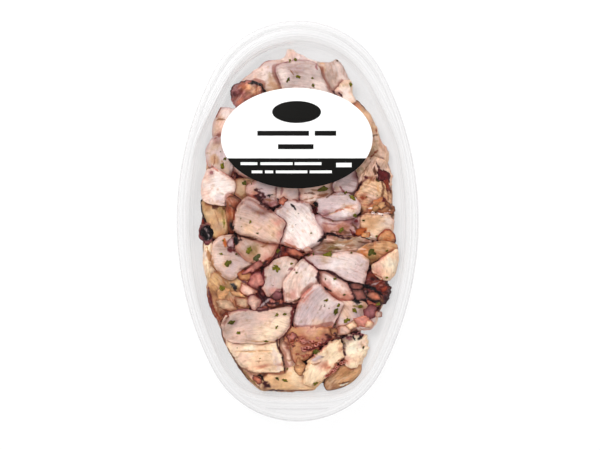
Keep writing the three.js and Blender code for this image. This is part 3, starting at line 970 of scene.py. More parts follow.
@dataclass
class HeightMap:
    """Heights over a lattice of cells that covers the tray, in millimetres."""

    cell: float = 0.5
    half_width: float = 76.0
    half_length: float = 124.0
    floor: float = 1.1
    cover_within: float = 0.6
    face_steps: int = 28
    values: Array = field(init=False)
    colours: Array = field(init=False)

    def __post_init__(self) -> None:
        """Starts with every cell at the tray's floor."""
        self.values = np.full(self.shape, self.floor)
        self.colours = np.tile(WHITE.shown, (*self.shape, 1))

    @property
    def shape(self) -> tuple[int, int]:
        """Rows and columns."""
        return int(2 * self.half_length / self.cell) + 1, int(2 * self.half_width / self.cell) + 1

    def lattice(self, x: Array, y: Array) -> tuple[Array, Array]:
        """Row and column of each place, as numbers with a fraction, kept one cell off the far edges.

        Args:
            x: the places across.
            y: the places along.

        Returns:
            The rows and the columns.
        """
        row = np.clip((y + self.half_length) / self.cell, 0, self.shape[0] - 1.001)
        column = np.clip((x + self.half_width) / self.cell, 0, self.shape[1] - 1.001)
        return row, column

    def sample(self, values: Array, x: Array, y: Array) -> Array:
        """Reads values at any place, blended between the four cells round it.

        Args:
            values: one value for each cell.
            x: the places across, over any grid.
            y: the places along, over the same grid.

        Returns:
            The values over the grid.
        """
        row, column = self.lattice(x, y)
        left = column.astype(int)
        low = row.astype(int)
        across = column - left
        up = row - low
        lower = values[low, left] * (1 - across) + values[low, left + 1] * across
        upper = values[low + 1, left] * (1 - across) + values[low + 1, left + 1] * across
        return lower * (1 - up) + upper * up

    def top_at(self, x: Array, y: Array) -> Array:
        """The heap's height at each place."""
        return self.sample(self.values, x, y)

    def splat(self, values: Array, points: Array, highest: bool = True) -> None:
        """Raises or lowers the four cells round each point to the point's height.

        Args:
            values: one value for each cell, which is changed.
            points: places and heights, one row each.
            highest: whether the highest height is kept, or else the lowest.
        """
        row, column = (part.astype(int) for part in self.lattice(points[:, 0], points[:, 1]))
        pick = np.maximum if highest else np.minimum
        for up in (0, 1):
            for right in (0, 1):
                pick.at(values, (row + up, column + right), points[:, 2])

    def cover(self, points: Array, tint: Array) -> None:
        """Puts a piece's points on the heap, with their colours where they end up on top.

        Args:
            points: places and heights, one row each.
            tint: the colour of each point.
        """
        self.splat(self.values, points)
        column = np.rint((points[:, 0] + self.half_width) / self.cell).astype(int)
        row = np.rint((points[:, 1] + self.half_length) / self.cell).astype(int)
        on_top = points[:, 2] > self.values[row, column] - self.cover_within
        self.colours[row[on_top], column[on_top]] = tint[on_top]

    def colour_at(self, x: Array, y: Array) -> Array:
        """The colour of what lies on top at each place."""
        return np.stack([self.sample(self.colours[..., channel], x, y) for channel in range(3)], axis=-1)

    @staticmethod
    def spread(values: Array, reach: int) -> Array:
        """Gives each cell the largest value within reach of it along rows and columns.

        Args:
            values: one value for each cell.
            reach: how far, in cells.

        Returns:
            The largest values.
        """
        for axis in (0, 1):
            best = values
            for shift in range(1, reach + 1):
                best = np.maximum(best, np.roll(values, shift, axis))
                best = np.maximum(best, np.roll(values, -shift, axis))
            values = best
        return values

    @staticmethod
    def blurred(values: Array, reach: int, passes: int = 3) -> Array:
        """Averages over a square, by running sums.

        Args:
            values: one value for each cell.
            reach: half the square's side, in cells.
            passes: how many times.

        Returns:
            The averages.
        """
        width = 2 * reach + 1
        for _ in range(passes):
            for axis in (0, 1):
                pads = [(0, 0), (0, 0)]
                pads[axis] = (reach + 1, reach)
                total = np.cumsum(np.pad(values, pads, mode="edge"), axis=axis)
                size = values.shape[axis]
                upper = np.take(total, np.arange(width, width + size), axis=axis)
                lower = np.take(total, np.arange(0, size), axis=axis)
                values = (upper - lower) / width
        return values

    def of_node(self, node: bpy.types.Object, reach: int) -> tuple[Array, Array]:
        """Reads a solid's upper and lower face as smooth height maps.

        Every face gets the same lattice of weights on its three corners. The cells under those points take
        the highest and the lowest of them, and both maps are blurred with only the covered cells counted.

        Args:
            node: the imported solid.
            reach: how far the blur reaches, in cells.

        Returns:
            The upper and the lower map.
        """
        mesh = node.data
        mesh.calc_loop_triangles()
        places = np.empty(len(mesh.vertices) * 3, np.float32)
        mesh.vertices.foreach_get("co", places)
        faces = np.empty(len(mesh.loop_triangles) * 3, np.int32)
        mesh.loop_triangles.foreach_get("vertices", faces)
        corners = (places.reshape(-1, 3) / MM)[faces.reshape(-1, 3)]
        steps = self.face_steps
        first, second = np.meshgrid(np.arange(steps + 1), np.arange(steps + 1))
        inside = first + second <= steps
        weights = np.stack([first[inside], second[inside], steps - first[inside] - second[inside]], 1) / steps
        points = np.einsum("wc,fcd->fwd", weights, corners).reshape(-1, 3)
        maps = []
        for highest, start in ((True, -1.0), (False, 99.0)):
            values = np.full(self.shape, start)
            self.splat(values, points, highest)
            covered = (values != start).astype(float)
            weight = self.blurred(covered, reach)
            total = self.blurred(values * covered, reach)
            maps.append(total / np.maximum(weight, 1e-6))
        return maps[0], maps[1]


# ---------------------------------------------------------------- tray, film and label


@dataclass
class ClearTray:
    """The clear tray: flat foot, sloping well with a step, shelf, flat rim and a lip turned down.

    The painted shade lines in its grooves and the painted highlight lines on its ridges each have a distance
    from the tray's edge and a strength. gleams, which are painted highlights too, have a direction, a spread
    and a distance from the tray's edge.
    """

    sizes: TraySizes
    finish: PlasticFinish = PlasticFinish("clear_tray_plastic", (216, 213, 214), 0.15, (168, 164, 167), 0.55)
    sides: int = 540
    step: float = 1.3
    line_width: float = 0.9
    groove_shade_lines: tuple[Place, ...] = ((0.6, 0.42), (4.1, 0.16), (7.6, 0.26), (9.4, 0.12))
    ridge_highlight_lines: tuple[Place, ...] = ((2.0, 0.5), (5.4, 0.55), (8.5, 0.5))
    gleams: tuple[tuple[float, float, float], ...] = ((112, 24, 2.0), (128, 17, 6.4), (103, 12, 8.4))

    def rings(self) -> Array:
        """The wall's profile as rings, from the foot out and up to the lip and back in to the floor.

        Returns:
            Places by ring and side.
        """
        s = self.sizes
        angle = around(self.sides)
        shelf = s.rim_top - s.shelf_drop

        def oval(inset: float, height: float) -> Array:
            """A ring on the oval."""
            return ring_at(s.oval_radius(angle, inset), height)

        def well(depth: float, out: float, height: float) -> Array:
            """A ring on the well's wall, moved outwards."""
            return ring_at(s.well_radius(angle, depth) + out, height)

        stack = [
            well(1.0, s.wall - s.floor_round, 0.0),
            well(1.0, s.wall * 0.7, 0.7),
            well(0.88, s.wall, s.floor_round),
            well(0.0, s.wall, shelf - s.wall - s.brim_round),
            well(0.0, s.wall + s.brim_round, shelf - s.wall),
            oval(s.rim_width + s.wall, shelf - s.wall),
            oval(s.rim_width, s.rim_top - s.wall),
            oval(s.lip_round + s.wall, s.rim_top - s.wall),
            oval(s.wall, s.rim_top - s.lip_drop),
            oval(0.0, s.rim_top - s.lip_drop),
            oval(0.2, s.rim_top - s.lip_round),
            oval(s.lip_round, s.rim_top),
            oval(s.rim_width, s.rim_top),
            oval(s.rim_width + s.wall, shelf),
            well(0.0, s.brim_round, shelf),
            well(0.0, 0.0, shelf - s.brim_round),
            well(0.88, 0.0, s.floor_round + s.wall),
            well(1.0, -s.floor_round, s.wall),
        ]
        return rounded(densified(np.stack(stack), self.step))

    def build(self, effects: Effects) -> bpy.types.Object:
        """Makes the tray and puts it in its solid's place.

        Args:
            effects: the shared node groups.

        Returns:
            The finished piece.
        """
        skin = Skin.closed(self.rings(), np.zeros(3), np.array([0, 0, self.sizes.wall]))
        # The tint's red carries painted shade along the grooves and its green painted highlights on the
        # ridges.
        dark, pale = self.bend_shade_and_highlight(skin.points)
        skin.tint = np.stack([self.as_mixed(dark), self.as_mixed(pale), np.zeros(len(dark))], axis=1)
        piece = skin.to_object("clear_tray", self.finish.material(effects))
        return placed(piece, "clear_plastic", "tray")

    @staticmethod
    def as_mixed(share: Array) -> Array:
        """The display value whose linear value is a share, since a mesh's tint is turned into linear."""
        return np.clip(share, 0, 1) ** (1 / 2.2)

    def bend_shade_and_highlight(self, points: Array) -> tuple[Array, Array]:
        """Lines painted along the oval where the plastic is bent: painted shade in its grooves, painted
        highlights on its ridges.

        Each line is a bell curve over the distance from the tray's edge, which the well's straight tail and
        its deeper head shift. The painted highlights are strongest in a few gleams, bell curves over the
        direction.

        Args:
            points: places on the tray.

        Returns:
            The shares of painted shade and of painted highlight, one for each place.
        """
        sizes = self.sizes
        angle = np.arctan2(points[:, 1], points[:, 0])
        inset = sizes.oval_radius(angle, 0.0) - np.hypot(points[:, 0], points[:, 1])
        well = sizes.oval_radius(angle, sizes.brim_inset) - sizes.well_radius(angle, 0.0)
        inset = np.where(inset > sizes.rim_width + 1.5, inset - well, inset)
        dark = np.zeros(len(points))
        for at, strength in self.groove_shade_lines:
            dark = np.maximum(dark, strength * bell(inset - at, 0.5 * self.line_width))
        pale = np.zeros(len(points))
        for at, strength in self.ridge_highlight_lines:
            pale = np.maximum(pale, 0.5 * strength * bell(inset - at, 0.4 * self.line_width))
        for direction, spread, at in self.gleams:
            off = (np.degrees(angle) - direction + 540) % 360 - 180
            pale = np.maximum(pale, bell(off, spread) * bell(inset - at, self.line_width))
        return dark, pale


@dataclass
class LidFilm:
    """The clear film that is sealed to the tray's rim."""

    sizes: TraySizes
    finish: PlasticFinish = PlasticFinish(
        "lid_film_plastic", (96, 98, 100), 0.014, roughness=0.06, ripple=0.0005
    )
    inset: float = 0.8
    low: float = 15.3
    thickness: float = 0.3
    sides: int = 360
    rings: int = 40
    ripples: int = 23
    ripple: float = 0.4

    def build(self, effects: Effects) -> bpy.types.Object:
        """A flat sheet, as one stack of rings out along its lower face and back in along its upper one.

        Args:
            effects: the shared node groups.

        Returns:
            The finished piece.
        """
        edge = self.sizes.oval_radius(around(self.sides), self.inset)
        shares = np.linspace(0.03, 1.0, self.rings)
        rings = [self.ring(edge, share, self.low) for share in shares]
        rings += [self.ring(edge, share, self.low + self.thickness) for share in shares[::-1]]
        low = np.array([0, 0, self.low])
        skin = Skin.closed(np.stack(rings), low, low + [0, 0, self.thickness])
        return placed(skin.to_object("lid_film", self.finish.material(effects)), "clear_plastic", "film")

    def ring(self, edge: Array, share: float, height: float) -> Array:
        """A ring of the sheet at a share of its edge, with a faint ripple that is strongest near the edge."""
        ripple = self.ripple * np.sin(self.ripples * around(self.sides)) * share**6 * (1 - share)
        return ring_at(edge * share, height + ripple)


@dataclass
class OvalLabel:
    """The oval paper label stuck on the film."""

    finish: LabelFinish = LabelFinish("label_print")
    at: Place = (-0.5, 49.4)
    half_length: float = 45.2
    half_width: float = 30.0
    low: float = 15.9
    thickness: float = 0.3
    sides: int = 360
    edge_rings: int = 9

    def build(self, effects: Effects) -> bpy.types.Object:
        """A thin sheet whose edge is rounded: inset by r (1 - cos) as it rises by r (1 + sin).

        Args:
            effects: the shared node groups.

        Returns:
            The finished piece.
        """
        half = self.thickness / 2
        angle = around(self.sides)
        rings = []
        for lean in np.linspace(-QUARTER_TURN, QUARTER_TURN, self.edge_rings):
            inset = half * (1 - math.cos(lean))
            x = self.at[0] + (self.half_length - inset) * np.cos(angle)
            y = self.at[1] + (self.half_width - inset) * np.sin(angle)
            z = np.full(self.sides, self.low + half * (1 + math.sin(lean)))
            rings.append(np.stack([x, y, z], axis=-1))
        middle = np.array([*self.at, self.low])
        skin = Skin.closed(np.stack(rings), middle, middle + [0, 0, self.thickness])
        return placed(skin.to_object("oval_label", self.finish.material(effects)), "label_paper", "label")


# ---------------------------------------------------------------- slices


class Flesh(Enum):
    """The kinds of flesh and skin, each with a slot name."""

    WHITE = "flesh_white"
    LILAC = "flesh_lilac"
    PEACH = "flesh_peach"
    CREAM = "flesh_cream"
    TAN = "flesh_tan"
    BROWN = "flesh_brown"
    SKIN = "octopus_skin"
    BED = "octopus_bed"

    def finish(self) -> FleshFinish:
        """How this kind of flesh looks, apart from its painted colour.

        Returns:
            Its finish.
        """
        looks = {
            Flesh.WHITE: {"fibre_spacing": 0.7, "fibre_depth": 0.4},
            Flesh.LILAC: {"fibre_depth": 0.5},
            Flesh.PEACH: {"fibre_depth": 0.3},
            Flesh.CREAM: {"fibre_depth": 0.25},
            Flesh.TAN: {"fibre_depth": 0.5, "mottle_low": 0.82},
            Flesh.BROWN: {"mottle_low": 0.7, "mottle_high": 1.25, "roughness": 0.3, "relief": 0.0003},
            Flesh.SKIN: {"mottle_low": 0.6, "mottle_high": 1.35, "roughness": 0.26, "relief": 0.0004},
            Flesh.BED: {"mottle_low": 0.6, "mottle_high": 1.3, "roughness": 0.26, "relief": 0.0004},
        }
        return FleshFinish(self.value + "_wet", **looks[self])


@dataclass(frozen=True)
class Slice:
    """One slice: its outline and what shows on it.

    turn is the way that its fibres run, tone its own colour and brim the one that its edge turns to.
    corners are the corners of its outline, counterclockwise. washes are soft spots of another colour:
    middle, radius and tone. rims are the stretches of its edge with dark skin: from one facing to another,
    counterclockwise, how wide, and its tone. creases are fold lines: one place on each and its facing.
    ragged is how torn the edge is, and bleed how far the edge's colour runs in.
    """

    name: str
    flesh: Flesh
    turn: float
    tone: Tone
    brim: Tone
    corners: tuple[Place, ...]
    washes: tuple[tuple[float, float, float, Tone], ...] = ()
    rims: tuple[tuple[float, float, float, Tone], ...] = ()
    creases: tuple[tuple[float, float, float], ...] = ()
    ragged: float = 0.2
    bleed: float = 1.4

    @property
    def middle(self) -> Array:
        """The mean of its corners."""
        return np.mean(self.corners, axis=0)

    def outline(self, sides: int, crisp: float) -> Array:
        """Its outline with rounded corners.

        Twice, each side is cut to the stretch between crisp and 1 - crisp of its length, and the cut ends are
        joined. The result is measured off in equal steps.

        Args:
            sides: how many points to return.
            crisp: the share of a side that goes at each end.

        Returns:
            Places by point, counterclockwise.
        """
        places = np.array(self.corners, float)
        for _ in range(2):
            places = cut_ends(places, np.roll(places, -1, axis=0), crisp)
        places = np.vstack([places, places[:1]])
        length = np.concatenate([[0], np.cumsum(np.linalg.norm(np.diff(places, axis=0), axis=1))])
        steps = np.arange(sides) / sides * length[-1]
        return np.stack([np.interp(steps, length, places[:, axis]) for axis in (0, 1)], axis=-1)


def tilted(x: float, y: float, length: float, width: float, turn: float) -> tuple[Place, ...]:
    """The corners of a turned box, for slices that lie under the label.

    Args:
        x: its middle, across.
        y: its middle, along.
        length: its length before the turn.
        width: its width before the turn.
        turn: the way that it points, in degrees.

    Returns:
        The four corners, counterclockwise.
    """
    signs = ((1, 1), (-1, 1), (-1, -1), (1, -1))
    offsets = (turned(a * length / 2, b * width / 2, turn) for a, b in signs)
    return tuple((x + across, y + along) for across, along in offsets)


SLICES = (
    Slice("label_slice_1", Flesh.LILAC, 20, LILAC, ROSE, tilted(-16, 66, 38, 28, 20)),
    Slice("label_slice_2", Flesh.PEACH, -15, PEACH, ROSE, tilted(15, 62, 38, 28, -15)),
    Slice("label_slice_3", Flesh.WHITE, 60, WHITE, ROSE, tilted(-26, 43, 34, 28, 60)),
    Slice("label_slice_4", Flesh.LILAC, 0, LILAC, ROSE, tilted(4, 37, 39, 28, 0)),
    Slice("right_slice_1", Flesh.PEACH, -62, SAND, BEIGE,
        ((30, 69), (32.5, 72), (36, 72), (40, 68.3), (43, 64.5), (46.5, 59), (45, 54), (40, 56), (33, 65)),
        ((35, 70, 3, SALMON), (42, 62, 5, PEACH), (45, 59, 2, SHELL)),
        ((50, 140, 1.0, BROWN),), ragged=0.3),
    Slice("right_slice_2", Flesh.TAN, -76, BEIGE, PEACH,
        ((41, 58), (44.5, 59), (48, 56), (49, 51.5), (51, 46.5), (54, 42), (54.5, 37), (52, 33), (46, 31),
         (40, 35), (39, 48)),
        ((45.5, 55, 3, SAND), (47, 50, 3, SHELL), (51.5, 42, 4, SHELL), (46, 45, 3, PEACH),
         (43, 34, 5, BEIGE)),
        ((-20, 60, 0.5, ROSE),), ragged=0.3),
    Slice("left_slice_1", Flesh.PEACH, 64, SHELL, LILAC,
        ((-49, 65.5), (-46.5, 67.7), (-42, 67.7), (-37, 66), (-36, 56), (-42, 49), (-50, 49), (-51.5, 54),
         (-50, 60)),
        ((-43, 65, 4, BRIGHT), (-47.5, 61.5, 2, SAND), (-50, 55, 3.5, BEIGE), (-47, 51.5, 3, DUSK)),
        ((100, 145, 0.8, RUST),)),
    Slice("left_slice_2", Flesh.PEACH, 83, LILAC, LILAC,
        ((-51, 49.5), (-46, 51), (-41, 46), (-39, 36), (-41, 27), (-47, 29), (-51, 31), (-54.5, 35),
         (-54.5, 41), (-53.5, 45)),
        ((-50.5, 45, 4, BEIGE), (-49, 48.5, 2, DUSK), (-51.5, 36, 3.5, BEIGE), (-49.8, 37, 1.8, TAN),
         (-44, 30, 4, BEIGE)),
        ((190, 250, 0.6, ROSE),)),
    Slice("head_slice_1", Flesh.PEACH, -85, WHITE, WHITE,
        ((-5.8, 103.4), (-2.6, 103), (0, 100.8), (5, 98.2), (12, 95.4), (12, 84), (-9, 84), (-12, 92),
         (-10.5, 96.8), (-7, 98.6)),
        ((-3, 100, 4, SHELL), (2, 97, 4, LILAC)), bleed=0.8),
    Slice("head_slice_2", Flesh.TAN, -84, DOVE, PEARL,
        ((24, 97.5), (27, 93), (29, 88.5), (31.5, 85), (31, 78), (24, 72), (16, 76), (13.5, 86), (11.3, 93),
         (12.5, 95.3), (16.5, 95.3), (19.5, 95)),
        ((21, 87, 5, GREY), (28, 86, 3.5, WHITE), (14, 93, 2.5, PEACH), (24, 93.5, 2.5, WHITE)), bleed=2.4),
    Slice("head_slice_3", Flesh.WHITE, 18, PEARL, SHELL,
        ((-20, 95.5), (-12, 96.7), (-8, 95.6), (-6, 86), (-7, 77), (-20, 73), (-31, 73), (-36, 79),
         (-33.5, 84.5), (-28, 88.3), (-23, 92)),
        # Painted shadow: the GREY wash at (-10.5, 86) and the TAN wash at (-14, 80) are the shade under
        # head_slice_4's edge.
        ((-10.5, 86, 5, GREY), (-22, 89, 6, WHITE), (-26, 85, 4, DOVE), (-14, 80, 5, TAN),
         (-16, 93, 3, LILAC)),
        ((70, 118, 0.5, MAUVE),)),
    Slice("head_slice_4", Flesh.LILAC, -4, PEARL, PEARL,
        ((-12.7, 92.3), (-10.5, 94), (-5, 95), (0, 96.2), (6, 96.2), (9.5, 95), (11.8, 92.5), (13.3, 88),
         (16.8, 82), (19, 76), (10, 70), (-4, 70), (-8, 78), (-9.7, 83), (-13, 89)),
        ((6, 88, 8, PEARL), (-8, 88, 4, WHITE), (-2, 91, 4, GREY_LILAC), (13, 82, 4, WHITE)),
        ((120, 190, 0.7, MAUVE), (40, 120, 0.35, MAUVE)), ragged=0.1),
    Slice("head_slice_5", Flesh.SKIN, 45, DUSK, MAUVE,
        ((-39.8, 78.5), (-38.3, 81.6), (-34, 83.4), (-30, 84), (-25.5, 83), (-21, 81.3), (-18, 77),
         (-26, 73), (-33, 68), (-36, 68.7), (-38.5, 72), (-39.8, 75.5)),
        ((-37.3, 77.5, 3.4, MAUVE), (-31.5, 80, 2.4, ORANGE), (-27, 77, 3, UMBER), (-35, 72.5, 2.5, SALMON),
         (-38, 75, 2, PLUM), (-24, 79, 2.4, SAND), (-33.5, 77, 1.6, WINE), (-29, 80.5, 1.6, APRICOT)),
        ((20, 75, 1.2, BLACK), (95, 200, 0.7, PLUM)), ragged=0.4),
    Slice("head_slice_6", Flesh.PEACH, -60, WHITE, PEACH,
        ((25, 80.5), (28, 83.8), (32, 83.6), (32.6, 80), (32.2, 76.5), (35, 72.5), (31, 70), (25, 73),
         (21.5, 77.5)),
        ((29.5, 82, 2.4, BEIGE), (28, 77, 3, WHITE), (24, 76.5, 1.8, MAUVE)),
        ((170, 215, 1.0, PLUM),), ragged=0.4),
    Slice("left_slice_3", Flesh.TAN, 88, CREAM, PEACH,
        ((-56, -14), (-52, -12.5), (-49, -15), (-47, -22), (-45.5, -30), (-46, -38), (-50, -42), (-54, -39),
         (-55, -33), (-56.5, -24)),
        ((-51.5, -35, 4, STRAW), (-55, -20, 2, WHITE)), bleed=0.8),
    Slice("left_slice_4", Flesh.CREAM, 78, STRAW, TAN,
        ((-58, 11.3), (-56.3, 13.4), (-53, 12.5), (-48, 10.2), (-44, 8.5), (-41.5, 3), (-42, -4),
         (-43.5, -9), (-48, -12), (-51.5, -9), (-54, -3), (-55.6, 0), (-57.3, 6)),
        ((-52, 4, 4, BEIGE), (-47, -3, 3.5, GREY), (-46, 4, 3, TAN), (-45, 7, 2, OLIVE), (-46, -8, 3, TAN),
         (-54, 9, 2.5, TAN), (-52, -1, 3, SAND)),
        ((95, 210, 0.9, BLACK),), bleed=0.8),
    Slice("left_slice_5", Flesh.PEACH, -10, BEIGE, SAND,
        ((-42, 17), (-39, 23.6), (-36, 25), (-30, 25), (-25, 24), (-18, 22), (-17, 17), (-22, 12),
         (-28, 11.5), (-37, 12)),
        ((-32, 18, 4, BEIGE), (-30, 15, 3, OLIVE), (-25, 21, 4, GREY_LILAC)),
        ((115, 175, 0.8, UMBER), (40, 70, 0.8, RUST))),
    Slice("left_slice_6", Flesh.WHITE, 10, WHITE, SHELL,
        ((-57.3, 14), (-52, 10.5), (-44, 9.5), (-41.5, 13), (-38.4, 18.5), (-38, 22.5), (-40.7, 26),
         (-45.5, 28.6), (-50, 31), (-54, 30), (-57, 23)),
        ((-48, 20, 6, BRIGHT), (-55, 16, 3, SHELL), (-47, 12.5, 3, LILAC), (-52.5, 29, 1.6, MAUVE),
         (-54.5, 26, 2.5, SHELL)),
        ((20, 82, 0.6, ROSE),), bleed=1.2),
    Slice("left_slice_7", Flesh.BROWN, -78, UMBER, RUST,
        ((-42.7, 13.5), (-40.5, 16), (-37, 14.5), (-34, 11.7), (-34.5, 6), (-35.5, 0), (-37, -6), (-41, -7),
         (-41.7, -1), (-42.5, 6)),
        ((-39, 12.6, 3, SALMON), (-39, 4, 2.6, ORANGE), (-39, -3, 2.4, BLACK), (-37.5, 7.5, 2, RUST),
         (-41, 7, 1.6, RUST)),
        ((40, 100, 1.0, PLUM), (-60, 20, 0.6, RUST))),
    Slice("left_slice_8", Flesh.TAN, -64, TAN, TAN,
        ((-54, -39.5), (-51, -32), (-45, -28), (-37, -29), (-30, -34), (-27, -44), (-31, -54), (-40, -58),
         (-46, -62.5), (-50.5, -56), (-53.2, -48)),
        ((-51, -36, 4, STRAW), (-41, -36, 4, TAN), (-44, -45, 4, BEIGE), (-47, -52, 4, BEIGE),
         (-42, -42, 3, OLIVE), (-36, -38, 3, STRAW), (-33, -44, 4, UMBER), (-40, -50, 3, SALMON)),
        ((175, 262, 1.0, RUST),), ragged=0.3, bleed=1.0),
    Slice("left_slice_9", Flesh.LILAC, -15, DOVE, SHELL,
        ((-50, -13.5), (-46, -10), (-41, -8.5), (-36, -9), (-28, -12), (-24, -19), (-28, -27),
         (-34.5, -29.5), (-38.5, -35), (-44, -33), (-49, -28.5), (-51, -21)),
        ((-44.5, -12, 3.5, LILAC), (-46, -17, 3, GREY), (-47, -23, 4, WHITE), (-41, -28, 4, LILAC),
         (-33, -21, 4, LILAC), (-40, -18, 2.6, GREY_LILAC), (-43, -26, 2, SAND), (-42.8, -14, 1.6, RUST)),
        ((-75, -30, 0.8, MAUVE),)),
    Slice("mid_slice_1", Flesh.LILAC, 5, LILAC, ROSE,
        ((-30, 21), (-22, 26), (-10, 26), (-5, 20), (-7, 13), (-13, 8), (-19, 6.5), (-26, 10.5),
         (-30, 14.5)),
        ((-18, 19, 5, LILAC), (-27, 18, 3, SHELL), (-22, 13, 3, WINE), (-15, 10, 3, MAUVE),
         (-12, 17, 3.5, SHELL), (-26, 14.5, 2.6, SALMON)),
        ((190, 300, 1.2, PLUM),), ragged=0.6),
    Slice("mid_slice_2", Flesh.PEACH, -5, SHELL, LILAC,
        ((-12, 19), (-8, 25), (4, 25), (10, 18), (10, 11), (4, 8), (-3, 9), (-9, 9), (-12, 13)),
        ((-3, 16, 4, LILAC), (4, 17.5, 3.5, WHITE), (3, 13, 3, SHELL), (-9, 13, 2.2, SALMON),
         (-1, 10, 2.5, ROSE)),
        ((190, 250, 0.9, PLUM),), ragged=0.6),
    Slice("mid_slice_3", Flesh.LILAC, -12, SHELL, SALMON,
        ((2, 21), (12, 25), (22, 25), (27, 19), (24, 13), (14, 10), (7, 9), (1, 12)),
        ((6, 15.5, 3.5, WHITE), (15.5, 15.5, 2.2, UMBER), (21, 18, 4, GREY), (11, 18, 3, SHELL),
         (11, 11, 2.4, BROWN)),
        ((190, 250, 1.0, PLUM),), ragged=0.6),
    Slice("mid_slice_4", Flesh.LILAC, -10, LILAC, GREY_LILAC,
        ((21, 21), (26, 29), (34, 35), (39.5, 31), (39, 25), (36.8, 19), (33, 16.2), (28, 16), (23, 17.5)),
        ((31, 22, 4, LILAC), (28, 27, 3.5, LILAC), (24, 19.5, 2, BEIGE), (35, 27, 2.5, MAUVE)),
        ((-50, 40, 1.0, PLUM), (195, 235, 0.7, MAUVE))),
    Slice("right_slice_3", Flesh.TAN, 70, SHELL, PEACH,
        ((35.5, 33), (40, 38), (47, 37.5), (52, 36), (55, 31), (56.5, 25), (54, 18), (45, 16), (38, 19),
         (37, 26)),
        ((41, 30, 4, PEACH), (45, 23, 4, PEACH), (40, 22, 3, GREY), (52, 20, 3, STRAW),
         (52, 34, 2.4, GREY)), ragged=0.5),
    Slice("right_slice_4", Flesh.TAN, -25, PEACH, SAND,
        ((35.5, 18), (42, 24), (50, 24), (55, 19), (56, 12), (55, 6), (47, 4), (40, 4), (35, 8),
         (34.5, 13)),
        # Painted highlight: the BRIGHT wash at (47, 11.5) is a glint.
        ((43, 18, 4, PEACH), (47, 11.5, 2, BRIGHT), (39.5, 14, 2.2, RUST), (40, 9, 3, SAND),
         (51, 17, 3, STRAW), (50, 9, 2.5, TAN), (36.5, 11, 2, MAUVE), (44, 14, 2, SHELL)), ragged=0.6),
    Slice("right_slice_5", Flesh.BROWN, -5, TAN, ORANGE,
        ((42.5, 7.5), (46.5, 11), (51, 14.5), (54, 11), (57.3, 8), (57.5, 5.8), (54, 4), (50, 2.8),
         (45, 3.4), (42, 4.8)),
        ((49.5, 8, 2.4, SAND), (53, 10, 1.8, BROWN), (56, 7, 1.6, BROWN), (46, 6, 1.8, OLIVE)),
        ((-60, 80, 0.8, BROWN), (200, 300, 0.9, BROWN)), ragged=0.9),
    Slice("right_slice_6", Flesh.CREAM, -8, PEACH, SHELL,
        ((34.5, 0), (39, 3), (47, 4), (54, 3.5), (57.5, 0), (57.5, -5), (53, -9.5), (46, -11.5), (38, -10),
         (33, -6)),
        ((43, 0, 5, SAND), (54, -1, 3, WHITE), (38, -1, 2.5, PEACH), (37, -6.5, 2.6, ORANGE),
         (50, -6, 3, CREAM), (42, -9.5, 2.6, IVORY), (34.5, -4, 1.8, RUST), (46, -12, 3, WHITE)),
        ((150, 215, 1.0, WINE),), ragged=0.3, bleed=0.8),
    Slice("right_slice_7", Flesh.BROWN, -30, SAND, ORANGE,
        ((47.8, -12.8), (49.6, -8.5), (52.4, -5.4), (55.4, -5.4), (58, -8.5), (59, -12.6), (54, -13.4)),
        ((53.5, -8.5, 2.2, SAND), (54, -11.3, 1.8, ORANGE)),
        ((0, 360, 0.8, RUST), (190, 350, 1.2, PLUM)), bleed=1.0),
    Slice("right_slice_8", Flesh.SKIN, 15, WINE, BLACK,
        ((39, -32), (44, -29.5), (49.8, -30.5), (53, -36), (55, -41), (54.8, -49), (48, -51), (41, -50),
         (34.5, -50.5), (31, -45), (32, -37)),
        ((47, -34, 4, RUST), (43, -33, 3, WINE), (38, -43, 3, PLUM), (46, -45.5, 2.6, WINE),
         (51.7, -39, 3, RUST), (39, -48, 2.6, BLACK), (49, -49, 2.4, OLIVE)),
        ((0, 360, 1.0, PLUM),), ragged=1.0),
    Slice("mid_slice_5", Flesh.PEACH, 4, LILAC, MAUVE,
        ((11, 3), (20, 5), (31, 4.5), (37, 2.5), (36.5, -3), (34, -9), (25, -10), (17, -8.5), (13, -5.5),
         (9.5, -1)),
        ((20, 0.5, 5, LILAC), (19, -5.5, 4, SALMON), (27, -4, 4, SALMON), (31.5, 1.5, 3, MAUVE),
         (28, -6.5, 3, UMBER), (35, -1, 1.8, PLUM)),
        ((200, 330, 1.1, PLUM),), bleed=1.8),
    Slice("mid_slice_6", Flesh.WHITE, -6, LILAC, LILAC,
        ((12, 11.7), (15, 13.8), (20, 15.3), (25, 16.6), (30.5, 15.8), (34.5, 13.7), (37.2, 11), (37, 5.5),
         (33, 2.2), (28, 1.6), (22, 1.4), (16, 2.6), (12.6, 6)),
        ((19, 10, 5, LILAC), (27, 12, 4, PEARL), (28, 5, 2.6, BRIGHT), (31, 8, 2, PEACH),
         (35, 7, 2.5, SHELL), (17, 4, 2, MAUVE), (34, 3, 2, BEIGE)),
        ((195, 260, 0.7, MAUVE),), creases=((24.5, 6.3, 20),), bleed=0.9),
    Slice("mid_slice_7", Flesh.TAN, 0, GREY, UMBER,
        ((8, -13), (15, -10), (21, -8.3), (30, -10.3), (38, -9.2), (45.5, -11.5), (49, -16), (44, -22),
         (36, -24), (20, -24), (10, -23), (6, -18)),
        ((20, -11, 3, ROSE), (14, -15, 3.5, UMBER), (33, -12.5, 4, BEIGE), (27, -16, 4, BEIGE),
         (21, -16, 3, OLIVE), (31, -19, 4, FAWN), (11, -19, 3, LILAC), (42, -13, 3, SHELL),
         (24, -19.5, 2.6, LILAC)),
        ((85, 140, 0.8, PLUM),), ragged=0.5, bleed=1.2),
    Slice("right_slice_9", Flesh.TAN, -8, SAND, SAND,
        ((35.3, -20.5), (37.3, -17), (42, -14.3), (48, -12.8), (55, -12.6), (59.5, -14.3), (59.7, -17),
